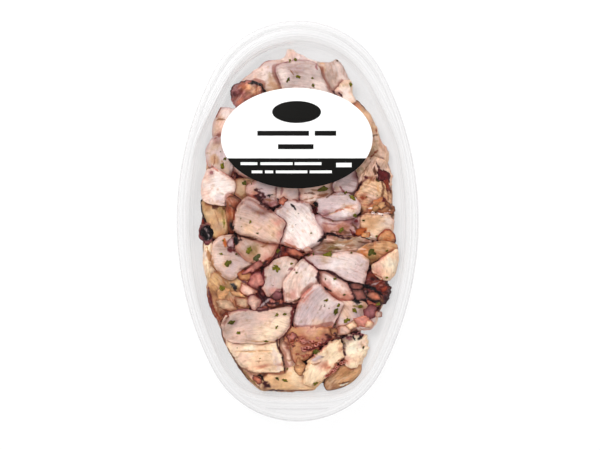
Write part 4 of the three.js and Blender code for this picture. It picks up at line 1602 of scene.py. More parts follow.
         (55, -20.8), (49, -24.4), (44, -26), (38, -23.3)),
        ((40, -18.5, 2.6, ORANGE), (50, -17, 5, SAND), (45, -23, 3, OLIVE), (57, -15, 2, SAND)),
        ((-60, 15, 0.8, RUST),), bleed=0.8),
    Slice("right_slice_10", Flesh.WHITE, -80, PEACH, CREAM,
        ((45.2, -26.2), (49, -24), (54, -21), (59.5, -17.3), (60.2, -23), (59, -31), (55, -35), (50, -34),
         (45.5, -30)),
        ((48.5, -27, 3, SHELL), (56, -26, 4, IVORY), (48, -31, 3, ROSE)),
        ((85, 178, 0.6, ROSE),), bleed=0.8),
    Slice("mid_slice_8", Flesh.LILAC, -40, SHELL, ROSE,
        ((12, -30.5), (15, -29), (20, -30), (26, -33.5), (30.5, -37), (33, -41), (34.4, -46), (32, -49.3),
         (27, -50), (22.5, -47.3), (18.5, -45.3), (16, -42), (13, -38), (12, -34)),
        ((19, -34.5, 4.4, BRIGHT), (24, -37.5, 4.4, BRIGHT), (27.5, -41, 3, WHITE), (22, -45, 3.6, SALMON),
         (30, -48, 4, SALMON), (16, -39.5, 3.4, ROSE)),
        ((0, 360, 0.9, WINE), (-50, 20, 1.2, PLUM)), bleed=2.4),
    Slice("mid_slice_9", Flesh.WHITE, -12, LILAC, SHELL,
        ((2.5, -22.3), (9, -20), (18, -21), (28, -19), (36, -19.6), (42, -23.5), (41.3, -29), (40.2, -34),
         (39.5, -38.6), (33, -37.2), (28, -35.2), (22.5, -32), (17.5, -29.6), (12, -29.2), (7, -26.5)),
        ((23, -25, 6, BRIGHT), (32, -27, 5, WHITE), (11, -25.5, 4, LILAC), (35, -35, 5, LILAC),
         (40, -26, 3, LILAC), (16, -21, 3, BEIGE), (39, -32, 3, LILAC), (26, -32.5, 3, LILAC)),
        ((188, 322, 0.9, PLUM), (150, 188, 0.8, WINE)), bleed=1.9),
    Slice("mid_slice_10", Flesh.LILAC, -60, LILAC, PEACH,
        ((21, -48), (28, -48.5), (34, -48.5), (39, -49), (44, -52), (48, -56.5), (47.2, -61), (43, -65.2),
         (36, -65.3), (31, -66.5), (25, -69), (19, -67), (19, -58)),
        ((24, -53, 4, LILAC), (29, -55.5, 4, PEACH), (32, -52, 3, SHELL), (22, -59, 3, GREY_LILAC),
         (40, -52, 2.6, UMBER), (36, -56, 2.4, GREY_LILAC), (27, -63, 3, SHELL)),
        ((-75, -20, 0.6, ROSE),), ragged=0.4),
    Slice("mid_slice_11", Flesh.WHITE, 80, DOVE, SHELL,
        ((-20, -28), (-14, -24.5), (-8, -22.5), (-1, -23.5), (0, -28), (-3, -34), (-7.5, -39.5), (-13, -44),
         (-18, -45), (-21, -39.5), (-20.8, -33)),
        ((-13, -32, 6, PEARL), (-15, -38, 4, LILAC), (-6, -28, 4, WHITE), (-14, -42.5, 2.5, ROSE)),
        ((195, 290, 0.7, ROSE), (110, 195, 0.6, MAUVE)), bleed=1.0),
    Slice("left_slice_10", Flesh.PEACH, -60, FAWN, SALMON,
        ((-36.5, -9), (-29, -9.5), (-20, -10), (-9.8, -10), (-12, -16), (-15, -21.5), (-19, -26.5),
         (-25, -25), (-31, -23.5), (-36.5, -17)),
        ((-31, -14, 4, PEARL), (-19, -18.5, 4, SHELL), (-14, -14, 2.5, ROSE), (-19, -14, 2, UMBER),
         (-24, -21, 3, BEIGE), (-27, -18, 3, OLIVE), (-19, -23, 2.4, ROSE)),
        ((-100, 30, 0.9, WINE),), bleed=1.6),
    Slice("mid_slice_12", Flesh.WHITE, 70, WHITE, SHELL,
        ((2, -24), (4.5, -23.8), (7.5, -27), (11.3, -30), (12.5, -35), (11.5, -39.5), (7.5, -43),
         (3, -46.8), (-2, -49), (-7.5, -49), (-8.6, -41), (-7.5, -36), (-3, -30)),
        ((4, -31, 5, WHITE), (0, -38, 5, SHELL), (-3, -45, 3, ROSE), (3, -27, 2.5, LILAC),
         (7, -37, 4, BRIGHT)),
        ((-150, -70, 0.7, ROSE), (0, 50, 0.7, MAUVE)), bleed=1.2),
    Slice("mid_slice_13", Flesh.LILAC, 54, LILAC, SHELL,
        ((10, -38.7), (13.5, -38), (16.5, -41.8), (20, -46), (25, -48.5), (27, -50), (24, -56), (21.5, -61),
         (18, -65.5), (9, -69), (2, -68), (-2, -62), (-1, -55), (1, -49), (4.5, -43.5)),
        ((8, -52, 6, LILAC), (17, -50, 4, WHITE), (12, -65, 5, PEACH), (3, -60, 4, LILAC),
         (20, -57, 3, GREY_LILAC), (4, -47, 2.4, ROSE)),
        ((95, 175, 0.6, ROSE),), bleed=1.0),
    Slice("mid_slice_14", Flesh.WHITE, -48, WHITE, LILAC,
        ((-9.5, 9.7), (-5, 11.3), (2, 10.8), (7.3, 8.7), (8.8, 4), (10.5, 0), (14, -5), (15, -9.6),
         (11.7, -13.4), (8, -15.4), (3, -17.4), (-1, -16.8), (-6, -14.2), (-11.5, -12.5), (-12.5, -5),
         (-14.5, 3.5)),
        ((-7, 7.5, 3.5, LILAC), (2, 8, 3, LILAC), (0, -4, 9, BRIGHT), (-5, -14, 3, ROSE),
         (11, -1, 2, SHELL), (-9, 4, 2, LILAC)),
        ((205, 255, 0.8, ROSE), (-60, -15, 0.5, MAUVE)), ragged=0.15, bleed=1.5),
    Slice("left_slice_11", Flesh.LILAC, -28, DOVE, SHELL,
        ((-30.3, 13.8), (-35.3, 9.5), (-37.3, 3), (-39, -5), (-34, -8.3), (-28, -9.6), (-24, -11),
         (-18, -12.7), (-11.3, -12.9), (-9.2, -7.5), (-7.6, -1.6), (-9, 0.8), (-14, 4.2), (-20, 8.2),
         (-25, 12.2)),
        ((-28, 10, 5, GREY_LILAC), (-20, 4, 4, GREY_LILAC), (-14, -5, 5, PEACH), (-31, 0, 5, DOVE),
         (-10.5, -8, 2.4, ROSE), (-24, -6, 5, SHELL), (-12, -1, 2.5, ROSE), (-30, -5.5, 3.5, PEACH)),
        ((-48, 32, 0.7, WINE), (32, 90, 0.45, MAUVE), (200, 265, 0.6, BROWN)), ragged=0.1, bleed=1.0),
    Slice("tail_slice_1", Flesh.TAN, -58, SHELL, UMBER,
        ((-46.8, -61), (-43, -57), (-37, -58), (-31, -66), (-32, -78), (-40.5, -79), (-44.5, -71)),
        ((-43, -66, 3, GREY), (-41, -75, 3, SALMON)),
        ((150, 230, 0.8, BROWN),)),
    Slice("tail_slice_2", Flesh.PEACH, -42, SHELL, TAN,
        ((-43, -73), (-36, -72), (-25, -77), (-16, -83), (-13, -92), (-16, -99), (-21.5, -102.2),
         (-28.5, -96.5), (-36.5, -87)),
        ((-26, -85, 5, PEACH), (-20, -92, 5, CREAM), (-32, -84, 3, SHELL), (-24, -95, 2.4, ORANGE),
         (-19, -97, 2.4, BLACK), (-30, -92, 2.4, UMBER)),
        ((150, 262, 1.0, BROWN),), bleed=1.8),
    Slice("tail_slice_3", Flesh.CREAM, 80, CREAM, PEACH,
        ((-13, -69), (-8, -67), (-2, -70), (0, -80), (1, -90), (-2, -98), (-10, -100), (-17, -95),
         (-18, -82)),
        ((-6, -77, 3.5, SHELL), (-5, -86, 3, WHITE), (-9, -94, 4, CREAM), (-14, -90, 3, PEACH),
         (-3, -74, 2, MAUVE)),
        ((-10, 60, 0.7, UMBER),)),
    Slice("tail_slice_4", Flesh.CREAM, -2, APRICOT, STRAW,
        ((-21, -95), (-15, -88), (-6, -89), (2, -87), (11, -89), (16.5, -95), (11.5, -99.5), (9.5, -102),
         (-4, -102.6), (-14, -102.4), (-22, -102)),
        ((2, -95, 6, CREAM), (-12, -99, 4, APRICOT), (-14, -94, 5, APRICOT), (-20, -99.5, 2.6, PLUM)),
        ((215, 320, 0.6, UMBER),), bleed=1.0),
    Slice("tail_slice_5", Flesh.TAN, 36, SAND, SAND,
        ((16.2, -98), (17.4, -94), (22, -89.6), (27, -87.4), (32, -85.5), (37.2, -84.5), (38, -88),
         (36.5, -93.2), (33.3, -97.5), (28.3, -101.2), (22, -102), (17.8, -101.8)),
        ((24, -93.5, 5, SAND), (33, -89, 4, APRICOT), (28, -90, 4, TAN), (21, -98, 3, BEIGE),
         (22, -101, 2, UMBER)),
        ((150, 290, 0.8, BROWN), (290, 360, 0.5, OLIVE), (60, 150, 0.8, UMBER))),
    Slice("tail_slice_6", Flesh.PEACH, 8, SAND, SALMON,
        ((-8, -69), (-5, -63.5), (2, -65), (10, -65), (20, -63), (24.5, -66), (22.5, -70.3), (17, -74.5),
         (12, -78.5), (5, -82.5), (0.5, -86), (-3, -82), (-5, -75)),
        ((8, -65.5, 4, SHELL), (2, -71, 3, SALMON), (8, -74, 4, SALMON), (2, -79, 3, UMBER),
         (16, -69.5, 2.6, ROSE), (22, -67, 2, OLIVE), (11, -76, 3, RUST), (-3, -70, 2, SALMON),
         (4, -76, 2.4, SALMON), (13, -71, 2.4, SALMON)),
        ((-70, 35, 1.4, WINE), (170, 260, 0.8, RUST)), ragged=0.9),
    Slice("tail_slice_7", Flesh.CREAM, 20, CREAM, CREAM,
        ((28, -71), (31.5, -67.2), (36, -67.4), (40.5, -69), (42, -73), (41.5, -78), (39.5, -84.5),
         (33, -88), (28.5, -86), (27, -79)),
        ((34, -77, 4.5, IVORY), (39, -74, 2, SHELL), (36, -83, 3, PEACH), (30, -84, 2.5, ROSE),
         (30, -72, 2, GREY)),
        ((60, 125, 2.0, PLUM), (125, 225, 1.0, GREY)), ragged=0.8, bleed=1.0),
    Slice("tail_slice_8", Flesh.CREAM, 55, CREAM, APRICOT,
        ((13, -78.5), (16.5, -75.5), (20, -72.5), (25, -71.5), (26.7, -76), (27.2, -82), (24, -85.5),
         (21.5, -89), (17, -93), (12, -96.5), (8, -98.5), (4, -96.5), (4.5, -89), (7.5, -83.5)),
        ((21, -77, 5, CREAM), (11, -82, 2.5, GREY_LILAC), (13, -86, 3, SHELL), (8, -93, 4, CREAM),
         (17, -87.5, 2.4, SALMON), (25.5, -77, 1.6, SALMON)),
        ((-75, 0, 1.4, SALMON), (75, 150, 0.8, ROSE)), ragged=0.7),
    Slice("tail_slice_9", Flesh.CREAM, 5, CREAM, CREAM,
        ((-43, -66), (-30, -64), (-15, -65), (-11, -70), (-11.8, -75), (-9.3, -80), (-8.3, -87),
         (-10.5, -93), (-18, -92.5), (-26, -90.5), (-34.5, -86.5), (-41, -78)),
        ((-25, -75.5, 7, PEACH), (-38, -72, 4, SHELL), (-24, -84, 5, PEACH), (-18, -85, 3, BEIGE),
         (-13, -86, 3, BEIGE), (-33, -82, 4, SHELL), (-22, -86, 4, PEACH), (-29, -76, 3, IVORY)),
        ((-18, 40, 0.7, BROWN),), creases=((-24, -72, 1), (-26, -78.3, 3)), bleed=1.2),
    Slice("tail_slice_10", Flesh.LILAC, -3, DOVE, SHELL,
        ((-45, -61.5), (-41.5, -54.5), (-36, -53.3), (-26, -54), (-16, -53.5), (-8, -51.8), (-2.5, -52.3),
         (-2.8, -57), (-4.6, -63), (-8, -68), (-13, -71.6), (-25, -72.4), (-38, -73), (-44, -70)),
        ((-30, -59, 6, PEARL), (-12, -62, 6, CREAM), (-34, -68, 4, SHELL), (-20, -57, 4, SHELL),
         (-26, -66, 5, DOVE), (-42, -65, 2.6, GREY), (-20, -69.5, 6, CREAM), (-38, -61, 2, GREY_LILAC)),
        ((-48, 28, 0.9, WINE), (28, 165, 0.5, MAUVE)), bleed=1.0),
)


@dataclass(frozen=True)
class Mark:
    """A line of another colour over whatever lies there: a bow from start over via to end. A few are
    painted highlights and a few painted crevice shade.

    width is half its breadth and height is how far it stands up, or sinks in where it is negative.
    """

    start: Place
    via: Place
    end: Place
    width: float
    tone: Tone
    strength: float = 0.97
    height: float = 0.0

    def mask(self, x: Array, y: Array) -> Array:
        """How strongly the line shows at each place.

        The distance to the bow is the least over its points. The mask falls from 1 to 0 between 0.4 and 1.6
        widths, with a width that wavers and gets less towards both ends.

        Args:
            x: the places across, over any grid.
            y: the places along, over the same grid.

        Returns:
            Shares from 0 to 1 over the grid.
        """
        count = max(6, int(math.dist(self.start, self.end) / (0.4 * self.width)) + 2)
        line = bow(self.start, self.via, self.end, np.linspace(0, 1, min(count, 60)))
        reach = 1.6 * self.width + 0.5
        near = (x > line[:, 0].min() - reach) & (x < line[:, 0].max() + reach)
        near &= (y > line[:, 1].min() - reach) & (y < line[:, 1].max() + reach)
        mask = np.zeros(x.shape)
        if near.any():
            away = np.hypot(x[near][:, None] - line[:, 0], y[near][:, None] - line[:, 1])
            where = away.argmin(axis=1)
            taper = 0.3 + 0.7 * np.abs(np.sin(math.pi * where / (len(line) - 1))) ** 0.6
            wide = self.width * taper * (1 + 0.7 * clouds(x[near], y[near], 1.3, 2.0, 2))
            mask[near] = smooth(-away.min(axis=1) / np.maximum(wide, 0.12), -1.6, -0.4)
        return mask


MARKS = tuple(Mark(*row) for row in (
    ((-51.5, 9), (-50, 7.5), (-47.5, 8.6), 0.9, BROWN), ((-44.3, 1), (-43.8, -1), (-44.6, -4), 0.7, LEAF),
    ((-45.5, 8), (-44.5, 7.5), (-44, 6.5), 0.6, BROWN), ((-39.8, -1.5), (-39, -3), (-38.8, -5), 1.3, BLACK),
    ((-37.8, -6.5), (-36.6, -10), (-37, -14), 1.6, BLACK),
    ((-35.5, -8.5), (-34.5, -10), (-33.5, -11.5), 0.8, PLUM),
    ((-43.5, -10.5), (-44.5, -13), (-43, -16), 1.0, ORANGE),
    ((-42, -16.5), (-40, -18.5), (-37.3, -17), 1.2, WINE),
    ((-41, -11), (-40, -14), (-40.5, -16), 0.8, MAUVE),
    ((-24.3, -10.8), (-26, -11.2), (-33, -9.3), 0.7, BROWN),
    ((-20.5, -15), (-18.5, -14.5), (-17.8, -12.5), 0.9, TAN),
    ((-22.5, -15.3), (-20, -16), (-18.5, -13.5), 0.5, UMBER),
    ((-54.4, -16), (-53.3, -22), (-49.3, -29.5), 1.2, TAN),
    ((-49.3, -29.5), (-47, -31), (-45.5, -32), 0.6, TAN),
    ((-53.6, -40), (-53.2, -47), (-50, -54.5), 0.9, WINE, 0.9, 0.4),
    ((-51.5, -50), (-49.5, -56), (-45, -61), 0.8, RUST, 0.9, 0.3),
    ((-49, -47), (-48.5, -53), (-45, -60), 0.7, UMBER, 0.8),
    ((-40.5, -38), (-38.5, -38.5), (-37, -40.5), 1.1, BLACK),
    ((-38.8, -40), (-38.5, -41.5), (-36, -43), 0.7, BLACK, 0.8),
    ((-36, -33), (-34, -36), (-29.5, -38), 0.9, WINE), ((-29.5, -37), (-26, -38.5), (-23, -41), 0.8, BROWN),
    ((-36, -32.5), (-34, -29), (-27, -26.5), 0.6, BROWN, 0.8),
    ((-20.3, -27), (-20.8, -36), (-22, -41), 0.9, WINE), ((-22, -40), (-24, -44), (-21, -49), 1.3, PLUM),
    ((-27, -31), (-24, -28), (-16, -22), 1.6, RUST, 0.85),
    ((-21, -27), (-20, -24.5), (-18, -24), 1.1, PLUM),
    ((-39, -43.5), (-33, -46), (-23.5, -45), 0.6, WINE, 0.9),
    ((-40, -52.5), (-35, -54), (-29, -52.8), 0.9, MAUVE, 0.8),
    ((-29, -53), (-22, -55), (-13, -52), 0.6, PLUM, 0.85),
    ((-21, -48), (-15, -50.5), (-3, -49.5), 1.0, PLUM),
    ((-18, -51.5), (-12, -52.5), (-5, -50), 0.7, BROWN, 0.9),
    # Painted highlight: a glint along a thin membrane.
    ((-23.8, -52.3), (-20.5, -50), (-16.8, -46.7), 0.5, LILAC, 0.95, 0.4),
    ((-16, -46.5), (-12, -47.5), (-9, -44), 1.3, PLUM), ((-9.3, -40), (-9, -44), (-9.5, -48), 0.8, WINE),
    ((-14, -43.5), (-12.5, -41), (-10.5, -41), 0.8, MAUVE, 0.85),
    ((-3, -48.5), (0, -48), (3.5, -46), 0.7, BROWN, 0.85),
    ((-2, -50), (-3, -54), (-4, -62), 1.0, WINE, 0.9), ((-24, 16), (-23, 12.5), (-20.5, 10), 1.2, BLACK),
    ((-26.5, 15), (-24, 14.5), (-23, 16), 0.8, WINE), ((-18.7, 15.5), (-17.5, 14.8), (-15, 16), 0.6, BLACK),
    ((-18, 7), (-14, 7), (-9.8, 10), 0.8, PLUM), ((-11.5, 13), (-10.5, 10), (-5.7, 13), 0.7, WINE),
    ((-9.5, 20), (-9, 18), (-10, 15.5), 0.6, MAUVE, 0.7),
    ((-4.3, 10.3), (-3, 9.5), (-1, 6.7), 0.7, BLACK, 0.85),
    ((3.5, 13), (7, 13), (9.5, 14), 0.5, UMBER, 0.8), ((9.5, 10.6), (11, 11), (12, 8.5), 0.9, BLACK),
    ((-26, 19), (-22, 17.5), (-19.5, 14), 1.3, PLUM, 0.9),
    ((-25, 15.5), (-23.5, 13.5), (-21.5, 11), 1.5, PLUM, 0.9),
    ((-42.6, 13.6), (-39.5, 16.4), (-35, 12), 0.45, BROWN, 0.9),
    ((-41, 9.4), (-38.6, 8.8), (-36.6, 6), 0.5, BROWN, 0.85, -0.2),
    ((-39, 5.5), (-37.6, 3), (-38.2, 0.5), 0.5, RUST, 0.8),
    ((-51.6, 9.4), (-50, 8), (-47.6, 8.6), 0.8, BROWN, 0.85),
    ((-45.6, 7.5), (-44.8, 5), (-45, 1), 0.5, OLIVE, 0.7),
    ((-50, 6.5), (-48.6, 2), (-47, -2.5), 0.4, UMBER, 0.5),
    # Painted highlight: the glint in the large sucker.
    ((-55.6, -4.6), (-54, -6.4), (-53.2, -9.6), 0.4, LILAC, 0.75),
    ((-52.6, -13), (-49.5, -15), (-47.6, -11), 0.6, SHELL, 0.9, 0.3),
    ((-57, -1.2), (-54, -0.6), (-51.6, -3.4), 0.5, DUSK, 0.8, 0.2),
    ((-22.5, 10), (-19, 10.5), (-15.5, 7), 1.2, PLUM, 0.9),
    ((-20, 13), (-17, 12), (-14.5, 12.5), 0.8, UMBER, 0.85),
    ((-13.5, 15.5), (-12.5, 17.5), (-13.2, 20.5), 0.5, MAUVE, 0.7),
    ((-3, 13), (0, 12), (4.5, 11), 0.8, DUSK, 0.75), ((0.5, 19), (1.5, 16), (0.5, 12.5), 0.5, MAUVE, 0.7),
    ((4, 16.5), (7.5, 17.3), (11, 16), 0.5, BROWN, 0.75),
    ((8, 19), (11, 18), (13.5, 18.5), 0.5, UMBER, 0.7),
    ((12, 15.5), (15, 15), (18.5, 16.5), 0.9, UMBER, 0.8),
    ((6, 12), (9.5, 12.6), (13, 13.3), 0.6, WHITE, 0.8, 0.2),
    ((17, 14), (19, 15), (21.5, 17.3), 0.5, BROWN, 0.7),
    ((13, -13.5), (18, -12.5), (23, -13.8), 0.6, BROWN, 0.7),
    ((12, -18), (16, -17.5), (20, -18.7), 0.5, UMBER, 0.7),
    ((24, -12.5), (29, -13), (33, -11.5), 0.6, TAN, 0.75, 0.2),
    ((22, -14.8), (27, -14), (31, -16), 0.5, WHITE, 0.75, 0.2),
    ((31, -17.5), (36, -16.5), (41, -17), 0.6, SHELL, 0.8, 0.2),
    ((36, -12), (39, -13.5), (43, -12.8), 0.5, BROWN, 0.7),
    ((14, -11.5), (18, -10.7), (22, -11.6), 0.5, SHELL, 0.75, 0.2),
    ((15, -1), (20, -2.5), (26, -1.5), 0.5, MAUVE, 0.6), ((23, -7), (28, -6), (33, -7.5), 0.9, BROWN, 0.7),
    ((38, 28), (41, 31), (44, 36), 0.5, UMBER, 0.7), ((41, 21), (44, 23.5), (45.5, 28), 0.5, TAN, 0.75),
    ((50.5, 24), (52, 19), (50.5, 14.5), 0.8, BROWN, 0.75),
    ((53.5, 19.5), (54.8, 16), (54.5, 12.5), 0.8, UMBER, 0.8),
    ((38, 10), (41, 9), (44.5, 10.5), 0.6, SALMON, 0.7), ((11.5, 8.5), (9.5, 6), (11, 4.5), 1.4, WINE),
    ((14.5, 19), (16, 19.3), (17.5, 18.7), 1.2, LEAF), ((25, 21), (27, 19), (28.3, 16.8), 0.6, MAUVE),
    ((22, 5), (25, 7.3), (28, 6.8), 0.5, SALMON, 0.85, -0.3),
    ((28.5, 8), (31, 8.3), (34, 7), 0.6, SALMON, 0.7), ((14, 3.6), (16.5, 3), (19, 4), 0.6, MAUVE, 0.8),
    # The sunk black and plum lines here are partly a shallow groove and partly painted shade in the crevice
    # between slices.
    ((12, -12.5), (15, -11), (18, -7.8), 0.9, BLACK, 0.9, -0.4),
    ((13.8, -9), (15.3, -10), (17, -10.4), 0.7, PLUM, 0.85, -0.3),
    ((17, -7.4), (21, -7), (24.5, -9.3), 0.7, BLACK, 0.9, -0.4),
    ((19.5, -6.6), (22, -5.6), (26, -7), 0.5, BROWN, 0.7),
    ((24, -9.5), (28, -11), (32.5, -10), 0.6, PLUM, 0.9, -0.3),
    ((31.5, -5), (33, -9), (37, -9), 0.8, WINE, 0.9), ((33, -1), (33.5, -4), (38, -6.5), 0.7, BROWN),
    ((34, -0.3), (35, 0), (36, -0.5), 0.9, WINE), ((40, -4.5), (41, -5), (41, -6), 0.9, ORANGE),
    ((35, -7.5), (38, -9), (44, -8.5), 0.7, RUST, 0.85),
    ((38, -9.8), (41, -10), (43.5, -11), 0.5, BLACK, 0.85),
    # Painted highlight: glints near the lower edge of right_slice_6.
    ((41, -10), (44, -9.5), (47, -10.5), 0.5, IVORY, 0.9, 0.3),
    # Painted highlights: glints on the frill's suckers, on this line and the next two.
    ((42.5, 7.5), (44, 8), (45, 7), 0.5, BRIGHT, 0.9, 0.2),
    ((47.5, 5.5), (49, 3.8), (51, 4.3), 0.5, BRIGHT, 0.9, 0.3),
    ((44, 4.8), (45.2, 4.2), (46, 5), 0.4, BRIGHT, 0.9, 0.3),
    ((52.5, 4.5), (54, 5), (56, 4.8), 0.3, LILAC, 0.9, 0.3), ((51.5, 14.5), (51, 12), (53, 10), 0.8, WINE),
    ((53, 10), (55, 8), (57, 7.5), 0.9, BROWN), ((48.2, 22.5), (48, 20), (48.8, 17.5), 0.6, SAND, 0.9, 0.2),
    ((46.3, 33), (46, 29.5), (47.5, 26), 0.7, BROWN, 0.9),
    ((47.3, 26), (48.3, 24.5), (49, 23.5), 0.8, DARK_LEAF),
    # Painted highlight: a glint beside the dark leaf.
    ((48, 26), (48.8, 25.6), (49, 25), 0.5, BRIGHT, 0.9, 0.3),
    ((47, 36), (47.5, 33.5), (49.5, 31.5), 0.6, PLUM, 0.9),
    ((49.5, 38.5), (51, 38.2), (52, 37), 0.5, GREY, 0.8), ((40, 26.5), (41.5, 26.3), (42, 25.3), 0.9, WINE),
    ((38.5, 24), (37.5, 21), (35.5, 18), 0.6, PLUM),
    ((37.5, 14.5), (39.5, 13.5), (41.5, 14.2), 0.8, RUST, 0.85),
    ((43.5, 37), (45, 40), (48.5, 42.7), 0.6, RUST, 0.9),
    ((44.8, 51), (46.5, 51.5), (48.5, 52), 0.5, BROWN, 0.9),
    ((47.3, 53), (47.5, 54.5), (47, 56), 0.5, RUST, 0.9),
    ((-49, 60.7), (-46.5, 62), (-43.5, 60.8), 0.5, UMBER, 0.9),
    ((-50, 49.3), (-48, 51), (-46, 51.3), 0.7, DUSK, 0.9),
    ((-50, 39), (-49.5, 36), (-51, 33), 0.5, UMBER, 0.8),
    ((-52, 34), (-50, 31.5), (-47.5, 29.7), 0.5, ROSE, 0.9),
    ((-53, 29.3), (-52, 29), (-50.8, 29.8), 0.9, MAUVE, 0.9),
    ((18, -16.8), (22, -15.5), (26, -17.2), 0.8, OLIVE, 0.75),
    ((28, -15.5), (31, -14.3), (36, -14.8), 0.7, UMBER, 0.6),
    ((21.5, -17), (23.5, -16.5), (25.5, -17.3), 0.6, BROWN, 0.8),
    ((8.5, -16), (12, -14), (16, -12.5), 0.9, GREY, 0.7),
    ((-8, -12.8), (-3, -15.5), (2.5, -17.2), 0.6, SALMON, 0.85),
    ((-9, -15), (-3, -18), (4.5, -18.3), 0.7, WINE, 0.85),
    ((-3, -22), (2, -20), (5.5, -18.8), 1.4, UMBER, 0.8),
    ((-5, -20.5), (0, -23), (3, -22), 0.8, BROWN, 0.8), ((7, -16.5), (8, -19), (8.5, -21), 0.7, ROSE, 0.8),
    ((-5.5, -29.5), (-3, -27.5), (-1.5, -29.8), 0.8, MAUVE, 0.75),
    ((-1, -26.5), (-4, -32), (-9, -38), 0.35, SHELL, 0.8),
    ((3, -21.3), (6.5, -25), (12, -28.7), 0.7, WINE, 0.9),
    ((12, -29.2), (19, -29.2), (24.5, -33.2), 0.55, PLUM), ((24, -33), (29, -36.6), (34, -37), 0.6, PLUM),
    ((34, -37), (37, -37), (39.8, -38.7), 0.5, PLUM), ((39, -38.4), (46, -40.6), (51.5, -45), 1.0, BLACK),
    ((52.6, -45), (53.4, -47), (52.8, -49), 1.0, BLACK),
    ((41.5, -41.5), (43.5, -44), (42.5, -47), 1.0, BLACK),
    ((40.5, -47.5), (44, -48.5), (49.5, -48), 0.8, BLACK, 0.9),
    ((44, -34), (46, -36.2), (48.5, -34.5), 0.9, PLUM, 0.85, -0.3),
    ((41.5, -33), (45, -30.2), (50.5, -34), 0.6, RUST, 0.7, 0.3),
    # Painted highlight: a glint on right_slice_8.
    ((44.6, -38.2), (46.5, -38.2), (49.3, -36.4), 0.45, GREY_LILAC, 0.8, 0.2),
    ((47.5, -37), (50, -37.5), (51, -34.5), 0.5, RUST, 0.8, 0.3),
    ((12.3, -30.5), (12, -33), (12.3, -36.5), 0.9, PLUM),
    ((16, -39.8), (17.8, -41.5), (20.5, -42.3), 1.0, BLACK),
    ((30, -37), (32.8, -40), (33.8, -46), 0.9, PLUM), ((35.5, -40), (38, -43), (42, -46.5), 0.9, BLACK),
    ((39, -38.5), (43, -38.5), (48, -42), 1.0, BLACK),
    # Painted highlight: a glint on right_slice_8.
    ((44.5, -38.3), (46.5, -38), (49, -36.7), 0.4, GREY_LILAC, 0.9, 0.3),
    ((34, -46), (35, -48.5), (38, -49), 1.3, BLACK), ((33, -51), (37, -51.8), (39, -50.8), 0.9, OLIVE, 0.8),
    ((52.3, -44.5), (53, -47), (52.5, -49.3), 1.1, PLUM),
    ((47, -58), (49, -56.5), (51.8, -53), 0.5, SALMON, 0.8),
    ((33.5, -60), (35, -62), (36.5, -63.8), 0.7, RUST, 0.85),
    ((1, -49), (4, -43.5), (9, -40), 0.5, ROSE, 0.8),
    ((3.3, -49), (6, -44.5), (10.5, -41), 0.35, ROSE, 0.7),
    ((13, -54), (14, -52), (14.5, -50.5), 0.5, GREY, 0.7),
    ((5, -67.5), (6.5, -66), (7.3, -64.5), 0.4, ROSE, 0.8),
    ((20.5, -66), (25, -69.5), (30, -69), 0.9, PLUM, 0.9, 0.3),
    ((16.5, -68), (19, -69), (20.5, -70.5), 0.9, PLUM, 0.85),
    ((12, -75.5), (17, -73.5), (20, -70), 0.9, WINE, 0.9),
    ((3.5, -76.5), (7, -78.5), (12, -75.5), 0.7, WINE, 0.9),
    ((8, -73), (10, -74), (12.5, -72.5), 0.5, RUST, 0.9),
    ((-2.5, -68.5), (0, -69), (0.3, -71), 0.7, WINE, 0.9),
    ((-6, -72), (-3.5, -72.5), (-1.5, -71.3), 0.5, RUST, 0.9),
    ((-3, -75), (-1.8, -75.3), (-1, -74.5), 0.5, BROWN, 0.9),
    ((0, -83), (2.5, -83.5), (5, -86.5), 0.9, DARK_LEAF, 0.85),
    ((27.8, -71), (28.5, -75), (28, -80), 0.8, GREY, 0.9),
    ((27.5, -78), (28, -80), (29.3, -81), 0.5, PLUM, 0.85),
    ((33.5, -68.5), (33.2, -70), (34.5, -71.5), 0.8, BLACK, 0.9, 0.3),
    ((36, -70.8), (38, -71), (39, -69), 0.8, BLACK, 0.9, 0.3),
    ((29, -71), (31, -70.5), (33, -71.5), 0.7, MAUVE, 0.85),
    ((32, -67.5), (32.8, -68), (33, -67), 0.6, BROWN, 0.9),
    ((23, -84.8), (25, -86.5), (26.5, -87), 0.5, RUST, 0.9),
    ((24, -84), (27, -82.5), (30, -84.5), 0.7, SALMON, 0.85),
    ((8.5, -83.8), (11, -82.5), (15, -81.5), 0.9, LILAC, 0.9, 0.3),
    ((8, -85.5), (11, -86.8), (14, -84.5), 0.5, UMBER, 0.75),
    ((14, -81.5), (15, -81.8), (16, -81.2), 0.4, GREY, 0.9),
    ((16.5, -88.8), (19, -88), (20, -87.5), 0.5, SALMON, 0.9),
    ((18, -93.5), (19, -91.5), (21.5, -90.3), 0.8, RUST, 0.85, 0.4),
    ((25.5, -99.2), (28, -98.7), (30.5, -97.5), 0.6, IVORY, 0.9),
    ((24.5, -98), (28, -97.8), (32, -96.3), 0.4, BROWN, 0.85),
    ((-12.3, -70.5), (-12.8, -75.5), (-9.3, -80.5), 0.5, PLUM, 0.9),
    ((-14.5, -76), (-12.5, -84), (-10, -91), 1.8, LILAC, 0.5),
    ((-7, -73), (-6, -80), (-5, -91), 3.0, SHELL, 0.45),
    ((-5, -72), (-4.5, -78), (-3, -84), 0.6, UMBER, 0.6),
    ((-8.5, -76), (-6, -77), (-4.5, -76), 0.5, SALMON, 0.6),
    ((-7, -83), (-5, -84.5), (-3.5, -83.5), 0.5, TAN, 0.7),
    ((-7.5, -88), (-4, -93), (-1, -91), 2.0, CREAM, 0.6),
    ((-9.5, -80), (-8.3, -84), (-7.6, -91.5), 0.5, BLACK, 0.85),
    ((-30, -88.5), (-20, -92.5), (-11, -92), 2.2, PEACH, 0.8),
    ((-22, -94.5), (-14, -94), (-4, -91.5), 2.2, APRICOT, 0.7),
    ((-29, -71.8), (-22, -72.2), (-12.5, -72.6), 0.35, SAND, 0.8),
